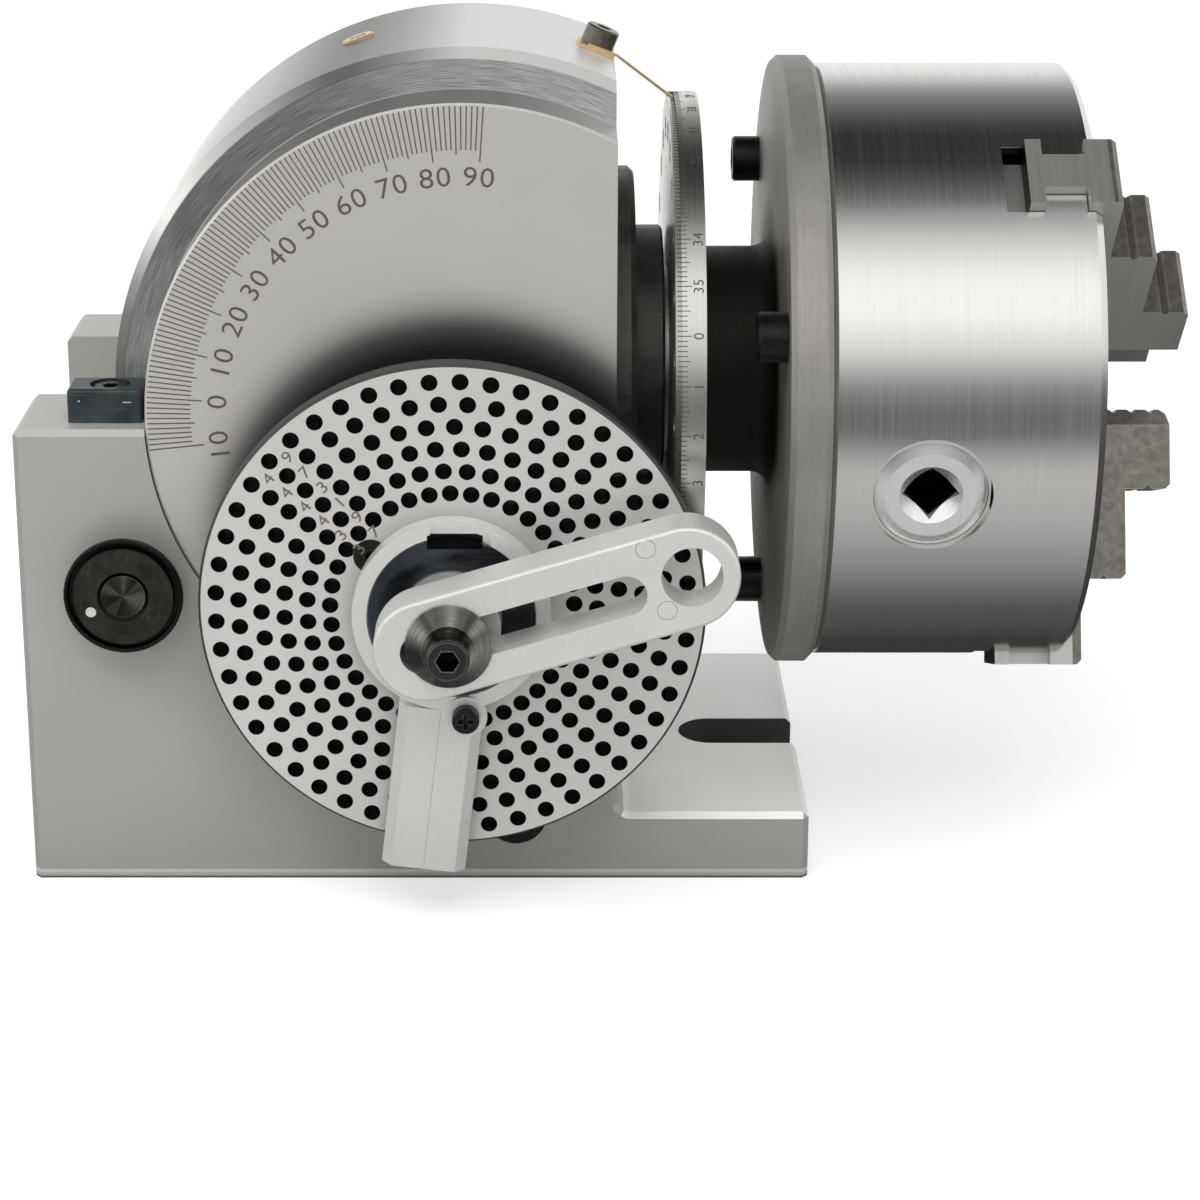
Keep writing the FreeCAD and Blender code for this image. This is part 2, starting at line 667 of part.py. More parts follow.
def build_base():
    """The iron base and the small parts fixed to it."""
    body = new_body("base_casting")
    left, right = -s.base_left, s.base_right
    front, back = -s.base_front, s.base_back
    foot = new_sketch(body, "XY")
    outline(foot, [(left, front), (right, front), (right, back), (left, back)])
    pad(body, foot, s.foot_height)
    cheek = [
        (left, s.foot_height / 2),
        (s.cheek_right, s.foot_height / 2),
        (s.cheek_right, s.cheek_height),
        (left, s.cheek_height),
    ]
    front_cheek = new_sketch(body, "XZ", s.base_front - s.front_cheek)
    outline(front_cheek, cheek)
    pad(body, front_cheek, s.front_cheek)
    rear_cheek = new_sketch(body, "XZ", -s.base_back)
    outline(rear_cheek, cheek)
    pad(body, rear_cheek, s.rear_cheek)
    dress(body, "Fillet", lambda edge: box_is(
        edge, x_low=s.cheek_right, x_high=s.cheek_right, z_low=s.foot_height, z_high=s.foot_height
    ), s.corner_round)
    dress(body, "Chamfer", is_outer_base_edge, s.edge_break)

    face_cradle = new_sketch(body, "XZ")
    circle(face_cradle, 0, s.centre_height, s.face_radius + s.cradle_gap)
    pocket(body, face_cradle, both=True)
    drum_cradle = new_sketch(body, "XZ", s.drum_front + s.ledge_gap)
    circle(drum_cradle, 0, s.centre_height, s.drum_radius + s.cradle_gap)
    pocket(body, drum_cradle, s.drum_front + s.drum_back + 2 * s.ledge_gap)

    slots = new_sketch(body, "XY")
    half_slot = s.slot_width / 2
    stadium(slots, left - s.slot_width, left + s.slot_reach, half_slot)
    stadium(slots, right - s.slot_reach, right + s.slot_width, half_slot)
    pocket(body, slots, reverse=True)
    half_key = s.keyway_width / 2
    for outer, inner in (
        (left, left + s.keyway_length),
        (right, right - s.keyway_length),
    ):
        keyway = new_sketch(body, "XY")
        outline(keyway, [(outer, -half_key), (inner, -half_key), (inner, half_key), (outer, half_key)])
        pocket(body, keyway, s.keyway_depth, reverse=True)
    stud_hole = new_sketch(body, "XZ")
    circle(stud_hole, -s.knob_left, s.knob_height, s.stud_radius + s.running_gap)
    pocket(body, stud_hole, both=True)
    vernier_hole = new_sketch(body, "XY", s.cheek_height)
    circle(vernier_hole, *vernier_middle(), s.small_screw_radius + s.fit_gap)
    pocket(body, vernier_hole, 14)

    block = new_body("vernier_block", (0, 0, s.cheek_height))
    block_left = -s.vernier_left
    block_right = block_left + s.vernier_length
    block_front = -s.vernier_front
    block_back = block_front + s.vernier_depth
    plan = new_sketch(block, "XY")
    outline(plan, [
        (block_left, block_front),
        (block_right, block_front),
        (block_right, block_back),
        (block_left, block_back),
    ])
    pad(block, plan, s.vernier_height)
    dress(block, "Fillet", lambda edge: edge.BoundBox.ZMax > 1, s.vernier_round)
    recess = new_sketch(block, "XY", s.vernier_height)
    circle(recess, *vernier_middle(), s.vernier_recess)
    pocket(block, recess, s.small_head_height)
    hole = new_sketch(block, "XY")
    circle(hole, *vernier_middle(), s.small_screw_radius + s.fit_gap)
    pocket(block, hole, reverse=True)

    across, along = vernier_middle()
    seat = s.cheek_height + s.vernier_height - s.small_head_height
    cap_screw("vernier_screw", (across, along, seat), (
        s.small_head_radius, s.small_head_height - 0.4, s.small_screw_radius, 14, s.small_key
    ))

    stud_place = (-s.knob_left, 0, s.knob_height)
    knob_back = s.base_front + s.knob_stand
    knob_front = knob_back + s.knob_thickness
    nut_back = -s.base_back - s.washer_thickness
    nut_end = nut_back - s.nut_height
    stud = new_body("clamp_stud", stud_place)
    turned_along_y(stud, [
        (0, nut_end - 2),
        (s.stud_radius - 0.6, nut_end - 2),
        (s.stud_radius, nut_end - 1.4),
        (s.stud_radius, s.base_front),
        (s.stud_pin_radius, s.base_front),
        (s.stud_pin_radius, knob_front - 0.3),
        (0, knob_front - 0.3),
    ])
    washer = new_body("clamp_washer", stud_place)
    turned_along_y(washer, [
        (s.stud_radius + s.fit_gap, nut_back),
        (s.washer_radius, nut_back),
        (s.washer_radius, -s.base_back),
        (s.stud_radius + s.fit_gap, -s.base_back),
    ])
    nut = new_body("clamp_nut", stud_place)
    nut_plan = new_sketch(nut, "XZ", nut_end)
    outline(nut_plan, hexagon(s.nut_across))
    circle(nut_plan, 0, 0, s.stud_radius + s.fit_gap)
    pad(nut, nut_plan, s.nut_height)
    knob = new_body("lock_knob", stud_place)
    hole_radius = s.stud_pin_radius + s.running_gap
    turned_along_y(knob, [
        (hole_radius, knob_back),
        (s.knob_radius - 0.6, knob_back),
        (s.knob_radius, knob_back + 0.6),
        (s.knob_radius, knob_front - 0.8),
        (s.knob_radius - 0.8, knob_front),
        (s.knob_radius - 4, knob_front),
        (s.knob_radius - 4.4, knob_front - 0.6),
        (s.knob_radius - 5.6, knob_front - 0.6),
        (s.knob_radius - 6, knob_front),
        (hole_radius, knob_front),
    ])


def is_outer_base_edge(edge):
    """Outer edges of the base that are broken: the ends, the top of the foot and the cheeks."""
    box = edge.BoundBox
    level = near(box.ZMin, s.cheek_height) and near(box.ZMax, s.cheek_height)
    foot_top = near(box.ZMin, s.foot_height) and near(box.ZMax, s.foot_height)
    at_right = near(box.XMin, s.base_right)
    outer_side = near(box.YMax, -s.base_front) or near(box.YMin, s.base_back)
    upright = box.ZLength > 1 and box.XLength < 0.1 and box.YLength < 0.1
    at_left = near(box.XMax, -s.base_left)
    at_cheek_end = near(box.XMin, s.cheek_right)
    if level:
        return outer_side or at_left or at_cheek_end
    if foot_top:
        return at_right
    if upright:
        return outer_side and (at_right or at_left or at_cheek_end)
    return False


def vernier_middle():
    """Centre of the vernier screw, seen from above."""
    across = -s.vernier_left + s.vernier_length / 2 + 0.7
    along = -s.vernier_front + s.vernier_depth / 2
    return across, along


def radial_sketch(body, angle, reach, along):
    """A sketch square to a radius of the head, turned from the top towards +X."""
    sketch = new_sketch(body, "XY")
    angle, reach, along = as_size(angle), as_size(reach), as_size(along)
    across, up = reach * sine(angle), reach * cosine(angle)
    slant(sketch, (across, along, up), ALONG_Y, angle)
    return sketch


def slant(sketch, base, axis, angle):
    """Move and turn a sketch within its plane's own frame."""
    angle = as_size(angle)
    if angle.value < 0:
        axis = -axis
        angle = -angle
    numbers = [as_size(number).value for number in base]
    sketch.AttachmentOffset = FreeCAD.Placement(
        Vector(*numbers), FreeCAD.Rotation(axis, angle.value)
    )
    for letter, number in zip("xyz", base):
        if isinstance(number, Size):
            bind(sketch, f"AttachmentOffset.Base.{letter}", number)
    bind(sketch, "AttachmentOffset.Rotation.Angle", angle)


def clip_seat():
    """Radius of the small flat under the pointer clip."""
    return s.drum_radius - 0.2


def index_pin_end():
    """Left end of the direct index pin at rest."""
    return s.head_flat - s.index_pin_back - s.index_pin_length


def build_head_casting():
    """The swivelling head, bored for the spindle and the worm."""
    body = new_body("head_casting", SWIVEL)
    rim = s.face_radius
    turned_along_y(body, [
        (0, s.base_front),
        (rim - 0.5, s.base_front),
        (rim, s.base_front - 0.5),
        (rim, s.drum_front),
        (s.drum_radius - s.drum_break, s.drum_front),
        (s.drum_radius, s.drum_front - s.drum_break),
        (s.drum_radius, -s.drum_back + s.drum_break),
        (s.drum_radius - s.drum_break, -s.drum_back),
        (rim, -s.drum_back),
        (rim, -s.base_back + 0.5),
        (rim - 0.5, -s.base_back),
        (0, -s.base_back),
    ])
    beyond = s.drum_radius + 2
    flat = new_sketch(body, "XZ")
    outline(flat, [(s.head_flat, -beyond), (beyond, -beyond), (beyond, beyond), (s.head_flat, beyond)])
    pocket(body, flat, both=True)
    recess_floor = -s.rear_bush_end - 1
    turned_along_x(body, [
        (-beyond, 0),
        (-beyond, s.nut_recess),
        (recess_floor, s.nut_recess),
        (recess_floor, rear_bore + s.fit_gap),
        (cavity_left, rear_bore + s.fit_gap),
        (cavity_left, front_bore + s.fit_gap),
        (s.head_flat + 1, front_bore + s.fit_gap),
        (s.head_flat + 1, 0),
    ], cut=True)
    worm_bore = new_sketch(body, "XZ", -s.worm_bore_back)
    circle(worm_bore, throw_across - s.wheel_shift, -(worm_drop + throw_up), s.sleeve_radius + s.running_gap)
    pocket(body, worm_bore, s.worm_bore_back + s.base_front + 1, reverse=True)

    screw_holes = new_sketch(body, "YZ", s.head_flat)
    circle(screw_holes, 0, s.cover_screw_circle, s.small_screw_radius + s.fit_gap)
    ring_of(body, [pocket(body, screw_holes, 10)], "X", 3)

    pin_y, pin_z = index_pin_middle()
    pin_bore = new_sketch(body, "YZ", s.head_flat)
    circle(pin_bore, pin_y, pin_z, s.index_pin_radius + s.running_gap)
    pocket(body, pin_bore, s.head_flat - index_pin_end() + 1)
    pin_slot = new_sketch(body, "XZ", -s.base_back)
    slant(pin_slot, (0, pin_z, -s.base_back), ALONG_Z, 0)
    shank = index_shank_place()
    stadium(pin_slot, shank, shank + s.index_pin_travel, s.index_shank + 0.3)
    pocket(body, pin_slot, s.base_back - pin_y, reverse=True)

    lock_hole = new_sketch(body, "XZ")
    circle(lock_hole, s.lock_screw_x, 0, s.lock_screw_radius + s.running_gap)
    pocket(body, lock_hole)

    oiler_hole = radial_sketch(body, -s.oiler_angle, s.drum_radius + 1, s.oiler_back)
    circle(oiler_hole, 0, 0, s.oiler_radius + s.fit_gap)
    pocket(body, oiler_hole, s.oiler_depth + 1)
    half_clip = s.clip_width / 2 + 0.2
    seat = radial_sketch(body, s.clip_angle, clip_seat(), -s.clip_front)
    outline(seat, [(-8, -half_clip), (8, -half_clip), (8, half_clip), (-8, half_clip)])
    pocket(body, seat, 3, reverse=True)
    clip_hole = radial_sketch(body, s.clip_angle, s.drum_radius, 0)
    circle(clip_hole, 0, 0, s.small_screw_radius + s.fit_gap)
    pocket(body, clip_hole, 9)


def index_pin_middle():
    """Axis of the direct index pin in the head's own Y and Z."""
    across = s.index_hole_circle * cosine(s.index_pin_angle)
    up = s.index_hole_circle * sine(s.index_pin_angle)
    return across, up


def index_shank_place():
    """Middle of the index pin knob along X, at rest."""
    return index_pin_end() + s.index_pin_radius


def build_head_parts():
    """Parts fixed to the head casting."""
    cover = new_body("nose_cover", SWIVEL)
    opening = s.journal_radius + 0.6
    turned_along_x(cover, [
        (s.head_flat, opening),
        (s.head_flat, s.cover_radius),
        (cover_front - s.rim_break, s.cover_radius),
        (cover_front, s.cover_radius - s.rim_break),
        (cover_front, s.boss_radius),
        (boss_front - 0.6, s.boss_radius),
        (boss_front, s.boss_radius - 0.6),
        (boss_front, opening),
    ])
    cover_holes = new_sketch(cover, "YZ", cover_front)
    circle(cover_holes, 0, s.cover_screw_circle, s.small_screw_radius + s.fit_gap)
    recesses = new_sketch(cover, "YZ", cover_front)
    circle(recesses, 0, s.cover_screw_circle, s.small_head_radius + 0.1)
    drilled = pocket(cover, cover_holes, s.cover_thickness)
    sunk = pocket(cover, recesses, 2.2)
    ring_of(cover, [drilled, sunk], "X", 3)
    screws = []
    for number in range(3):
        turn = 90 + 120 * number
        across = s.cover_screw_circle * cosine(turn)
        up = s.centre_height + s.cover_screw_circle * sine(turn)
        place = (cover_front - 2.2, across, up)
        screws.append(cap_screw(f"nose_cover_screw_{number + 1}", place, (
            s.small_head_radius, 2.2, s.small_screw_radius, 11, s.small_key
        ), ALONG_Y, 90, kept=False))
    together("nose_cover_screws", screws)

    front_bush = new_body("front_bush", SWIVEL)
    bush_left = wheel_right + 3
    bush_right = collar_left - s.collar_play
    turned_along_x(front_bush, [
        (bush_left, s.journal_radius + s.running_gap),
        (bush_left, front_bore),
        (bush_right, front_bore),
        (bush_right, s.journal_radius + s.running_gap),
    ])
    lock_window = new_sketch(front_bush, "XZ")
    circle(lock_window, s.lock_screw_x, 0, s.lock_screw_radius + s.running_gap)
    pocket(front_bush, lock_window)
    rear_bush = new_body("rear_bush", SWIVEL)
    turned_along_x(rear_bush, [
        (-s.rear_bush_end, s.rear_journal + s.running_gap),
        (-s.rear_bush_end, rear_bore),
        (-s.rear_bush_end + s.rear_bush_length, rear_bore),
        (-s.rear_bush_end + s.rear_bush_length, s.rear_journal + s.running_gap),
    ])

    cup = new_body("oil_cup", (0, s.oiler_back, s.centre_height), ALONG_Y, -s.oiler_angle)
    floor = s.drum_radius - s.oiler_depth
    lip = s.drum_radius + 0.6
    ball_seat = lip - 2 * s.oiler_ball + 0.3
    turned_along_z(cup, [
        (0, floor),
        (s.oiler_radius, floor),
        (s.oiler_radius, lip - 0.3),
        (s.oiler_radius - 0.3, lip),
        (s.oiler_ball + s.running_gap, lip),
        (s.oiler_ball + s.running_gap, ball_seat),
        (0, ball_seat),
    ])
    ball = new_body("oiler_ball", (0, s.oiler_back, s.centre_height), ALONG_Y, -s.oiler_angle)
    sphere = ball.newObject("PartDesign::AdditiveSphere", "oiler_ball_sphere")
    sphere.AttachmentOffset = FreeCAD.Placement(Vector(0, 0, 0), FreeCAD.Rotation())
    bind(sphere, "Radius", s.oiler_ball)
    bind(sphere, "Placement.Base.z", ball_seat + s.oiler_ball)
    ball.Tip = sphere

    clip = new_body("pointer_clip", (0, -s.clip_front, s.centre_height), ALONG_Y, s.clip_angle)
    half_length, half_width = s.clip_length / 2, s.clip_width / 2
    plate = new_sketch(clip, "XY", clip_seat())
    outline(plate, [
        (-half_length, -half_width),
        (half_length, -half_width),
        (half_length, half_width),
        (-half_length, half_width),
    ])
    circle(plate, 0, s.clip_front, s.small_screw_radius + s.fit_gap)
    pad(clip, plate, s.clip_thickness)
    clip_top = clip_seat() + s.clip_thickness
    screw_place = (clip_top * sine(s.clip_angle), 0, s.centre_height + clip_top * cosine(s.clip_angle))
    cap_screw("pointer_screw", screw_place, (
        s.small_head_radius, s.small_head_height, s.small_screw_radius, 9, s.small_key
    ), ALONG_Y, s.clip_angle)
    wire = new_body("pointer_wire", (0, 0, s.centre_height), ALONG_Y, s.clip_angle)
    wire_left = -s.clip_front - half_width + s.pointer_width + 0.1
    tip_x = dial_left + s.pointer_gap
    tip_z = s.dial_radius + s.pointer_gap
    end_across = tip_x * cosine(s.clip_angle) - tip_z * sine(s.clip_angle)
    end_up = tip_x * sine(s.clip_angle) + tip_z * cosine(s.clip_angle)
    side = new_sketch(wire, "XZ", -wire_left)
    outline(side, [
        (-2, clip_top),
        (half_length + 0.3, clip_top),
        (end_across, end_up),
        (end_across + 0.2, end_up + s.pointer_thickness),
        (half_length + 0.4, clip_top + s.pointer_thickness),
        (-2, clip_top + s.pointer_thickness),
    ])
    pad(wire, side, s.pointer_width)


def build_index_pin():
    """The direct index pin and its knob behind the head."""
    pin_y, pin_z = index_pin_middle()
    place = (0, pin_y, s.centre_height + pin_z)
    left = index_pin_end()
    right = left + s.index_pin_length
    pin = new_body("index_pin", place)
    turned_along_x(pin, [
        (left, 0),
        (left, s.index_pin_radius),
        (right - 8, s.index_pin_radius),
        (right - 7.5, s.index_pin_tip),
        (right - 0.4, s.index_pin_tip),
        (right, s.index_pin_tip - 0.4),
        (right, 0),
    ])
    shank_hole = new_sketch(pin, "XZ")
    circle(shank_hole, index_shank_place(), 0, s.index_shank + s.fit_gap)
    pocket(pin, shank_hole)
    knob = new_body("index_pin_knob", (index_shank_place(), 0, s.centre_height + pin_z))
    knob_start = -s.base_back - 0.5
    knob_end = knob_start - s.index_knob_height
    turned_along_y(knob, [
        (0, -pin_y),
        (s.index_shank, -pin_y),
        (s.index_shank, knob_start),
        (s.index_knob_radius - 0.5, knob_start),
        (s.index_knob_radius, knob_start - 0.5),
        (s.index_knob_radius, knob_end + 0.8),
        (s.index_knob_radius - 0.8, knob_end),
        (0, knob_end),
    ])


def build_spindle_lock():
    """The lock screw behind the head, with its cross bar and its pad."""
    place = (s.lock_screw_x, 0, s.centre_height)
    pad_front = -s.journal_radius - 0.1
    pad_back = pad_front - s.lock_pad_length
    lock_pad = new_body("lock_pad", place)
    turned_along_y(lock_pad, [
        (0, pad_front),
        (s.lock_screw_radius, pad_front),
        (s.lock_screw_radius, pad_back),
        (0, pad_back),
    ])
    screw = new_body("spindle_lock_screw", place)
    head_start = -s.base_back - 0.6
    head_end = head_start - s.lock_head_height
    turned_along_y(screw, [
        (0, pad_back),
        (s.lock_screw_radius - 1, pad_back),
        (s.lock_screw_radius, pad_back - 1),
        (s.lock_screw_radius, head_start),
        (s.lock_head_radius - 0.5, head_start),
        (s.lock_head_radius, head_start - 0.5),
        (s.lock_head_radius, head_end + 0.8),
        (s.lock_head_radius - 0.8, head_end),
        (0, head_end),
    ])
    middle = s.base_back + 0.6 + s.lock_head_height / 2
    cross = new_sketch(screw, "XY")
    circle(cross, 0, middle, s.lock_bar_radius + s.fit_gap)
    pocket(screw, cross, both=True)
    bar = new_body("spindle_lock_bar", (s.lock_screw_x, middle, s.centre_height))
    half_bar = s.lock_bar_length / 2
    turned_along_z(bar, [
        (0, -half_bar),
        (s.lock_bar_radius - 0.8, -half_bar),
        (s.lock_bar_radius, -half_bar + 0.8),
        (s.lock_bar_radius, half_bar - 0.8),
        (s.lock_bar_radius - 0.8, half_bar),
        (0, half_bar),
    ])


def build_sleeve():
    """The eccentric worm sleeve with its lever, the index plate and the sector spring."""
    sleeve = new_body("worm_sleeve", sleeve_place)
    turned_along_y(sleeve, [
        (0, s.sleeve_end),
        (s.sleeve_radius - 0.5, s.sleeve_end),
        (s.sleeve_radius, s.sleeve_end + 0.5),
        (s.sleeve_radius, flange_back),
        (0, flange_back),
    ])
    flange = new_sketch(sleeve, "XZ", flange_back)
    circle(flange, -throw_across, throw_up, s.flange_radius)
    pad(sleeve, flange, s.flange_thickness)
    nose = new_sketch(sleeve, "XZ", s.plate_back)
    circle(nose, -throw_across, throw_up, s.sleeve_nose_radius)
    pad(sleeve, nose, sleeve_nose_front - s.plate_back)
    shaft_bore = new_sketch(sleeve, "XZ", sleeve_nose_front)
    circle(shaft_bore, -throw_across, throw_up, s.shaft_radius + s.running_gap)
    pocket(sleeve, shaft_bore)
    threads = new_sketch(sleeve, "XZ", s.plate_back)
    for number in range(3):
        across, up = plate_screw(number)
        circle(threads, across - throw_across, up + throw_up, s.small_screw_radius + s.fit_gap)
    pocket(sleeve, threads, s.flange_thickness)

    lever = new_body("release_lever", sleeve_place, ALONG_Y, s.lever_angle)
    lever_back = s.base_front + s.lever_gap
    ring = new_sketch(lever, "XZ", lever_back)
    circle(ring, 0, 0, s.sleeve_radius + s.lever_ring_wall)
    pad(lever, ring, s.lever_thickness)
    arm = new_sketch(lever, "XZ", lever_back)
    stadium(arm, s.sleeve_radius + s.lever_half_width, s.lever_reach, s.lever_half_width)
    pad(lever, arm, s.lever_thickness)
    end = new_sketch(lever, "XZ", lever_back)
    circle(end, s.lever_reach, 0, s.lever_knob_radius)
    pad(lever, end, s.plate_back - lever_back - 0.9)
    bore = new_sketch(lever, "XZ")
    circle(bore, 0, 0, s.sleeve_radius + s.fit_gap)
    pocket(lever, bore, both=True)

    plate = new_body("index_plate", worm_place)
    edge = 0.5
    bore_radius = s.sleeve_nose_radius + s.fit_gap
    turned_along_y(plate, [
        (bore_radius, s.plate_back),
        (s.plate_radius - edge, s.plate_back),
        (s.plate_radius, s.plate_back + edge),
        (s.plate_radius, plate_front - edge),
        (s.plate_radius - edge, plate_front),
        (bore_radius, plate_front),
    ])
    reach = s.outer_circle
    for count in (49, 47, 43, 41, 39, 37):
        hole = new_sketch(plate, "XZ", plate_front)
        across = reach * cosine(s.first_hole_angle)
        up = reach * sine(s.first_hole_angle)
        circle(hole, across, up, s.plate_hole_radius)
        ring_of(plate, [pocket(plate, hole, s.plate_hole_depth)], "Y", count)
        reach = reach - s.circle_step
    screw_holes = new_sketch(plate, "XZ", plate_front)
    sinks = new_sketch(plate, "XZ", plate_front)
    for number in range(3):
        across, up = plate_screw(number)
        circle(screw_holes, across, up, s.small_screw_radius + s.fit_gap)
        circle(sinks, across, up, s.small_head_radius)
    pocket(plate, screw_holes, s.plate_thickness + 1)
    sunk = pocket(plate, sinks, 1.5)
    sunk.TaperAngle = -45
    screws = []
    for number in range(3):
        across, up = plate_screw(number)
        place = (across - s.wheel_shift, -plate_front, worm_height + up)
        screws.append(countersunk_screw(f"index_plate_screw_{number + 1}", place, (
            s.small_head_radius, 1.5, s.small_screw_radius, 9, s.small_key - 0.6
        ), ALONG_X, 90, kept=False))
    together("index_plate_screws", screws)

    spring = new_body("spring_ring", worm_place)
    turned_along_y(spring, [
        (s.worm_collar_radius + 0.1, sleeve_nose_front),
        (s.ring_recess - 0.2, sleeve_nose_front),
        (s.ring_recess - 0.2, sleeve_nose_front + s.spring_thickness),
        (s.worm_collar_radius + 0.1, sleeve_nose_front + s.spring_thickness),
    ])


def plate_screw(number):
    """Centre of one plate screw, from the worm axis."""
    turn = 145 + 120 * number
    return s.plate_screw_circle * cosine(turn), s.plate_screw_circle * sine(turn)


def build_sector_arms():
    """The two sector arms that turn on the sleeve nose."""
    seam = 90 + s.sector_seam
    ring_bore = s.sleeve_nose_radius + s.running_gap
    clear_ring = s.ring_radius + s.running_gap
    play = s.sector_play / 2

    left = new_body("sector_arm_left", worm_place, ALONG_Y, seam)
    ring = new_sketch(left, "XZ", rear_ring_back)
    circle(ring, 0, 0, s.ring_radius)
    pad(left, ring, s.ring_thickness)
    root_blade = new_sketch(left, "XZ", rear_ring_back)
    outline(root_blade, [
        (0, -s.sector_width),
        (s.arm_reach, -s.sector_width),
        (s.arm_reach, -play),
        (0, -play),
    ])
    pad(left, root_blade, s.ring_thickness)
    thick_blade = new_sketch(left, "XZ", rear_ring_back)
    outline(thick_blade, [
        (clear_ring, -s.sector_width),
        (s.arm_reach, -s.sector_width),
        (s.arm_reach, -play),
        (clear_ring, -play),
    ])
    pad(left, thick_blade, front_ring_front - rear_ring_back)
    dress(left, "Chamfer", lambda edge: is_blade_edge(edge, -s.sector_width), s.sector_bevel)
    bore = new_sketch(left, "XZ")
    circle(bore, 0, 0, ring_bore)
    pocket(left, bore, both=True)

    right = new_body("sector_arm_right", worm_place, ALONG_Y, seam)
    ring = new_sketch(right, "XZ", front_ring_back)
    circle(ring, 0, 0, s.ring_radius)
    pad(right, ring, s.ring_thickness)
    root_blade = new_sketch(right, "XZ", front_ring_back)
    outline(root_blade, [
        (0, play),
        (s.arm_reach, play),
        (s.arm_reach, s.sector_width),
        (0, s.sector_width),
    ])
    pad(right, root_blade, s.ring_thickness)
    thick_blade = new_sketch(right, "XZ", rear_ring_back)
    outline(thick_blade, [
        (clear_ring, play),
        (s.arm_reach, play),
        (s.arm_reach, s.sector_width),
        (clear_ring, s.sector_width),
    ])
    pad(right, thick_blade, front_ring_front - rear_ring_back)
    dress(right, "Chamfer", lambda edge: is_blade_edge(edge, s.sector_width), s.sector_bevel)
    bore = new_sketch(right, "XZ")
    circle(bore, 0, 0, ring_bore)
    pocket(right, bore, both=True)
    recess = new_sketch(right, "XZ", front_ring_front)
    circle(recess, 0, 0, s.ring_recess)
    pocket(right, recess, s.spring_thickness + 2 * s.layer_gap)
    notch = new_sketch(right, "XZ", front_ring_front)
    outline(notch, [(-s.ring_radius - 1, -6), (0, -6), (0, 6), (-s.ring_radius - 1, 6)])
    pocket(right, notch, s.spring_thickness + 2 * s.layer_gap)
    screw_hole = new_sketch(right, "XZ", front_ring_front)
    circle(screw_hole, s.sector_screw_reach, s.sector_screw_side, 1.5 + s.fit_gap)
    pocket(right, screw_hole, s.ring_thickness)

    along = cosine(seam)
    down = sine(seam)
    reach, side = s.sector_screw_reach, s.sector_screw_side
    screw_x = reach * along + side * down - s.wheel_shift
    screw_z = worm_height - reach * down + side * along
    washer = new_body("sector_washer", (screw_x, 0, screw_z))
    turned_along_y(washer, [
        (1.5 + s.fit_gap, front_ring_front),
        (4.2, front_ring_front),
        (4.2, front_ring_front + 1.2),
        (1.5 + s.fit_gap, front_ring_front + 1.2),
    ])
    cap_screw("sector_screw", (screw_x, -(front_ring_front + 1.2), screw_z), (
        as_size(2.7), as_size(2.4), 1.5, s.ring_thickness + 1.1, as_size(3.2)
    ), ALONG_X, 90, recess=cross)


def is_blade_edge(edge, side):
    """The long outer front edge of a sector arm."""
    box = edge.BoundBox
    at_front = near(box.YMin, -front_ring_front) and near(box.YMax, -front_ring_front)
    return at_front and near(box.ZMin, side) and near(box.ZMax, side) and box.XLength > 5


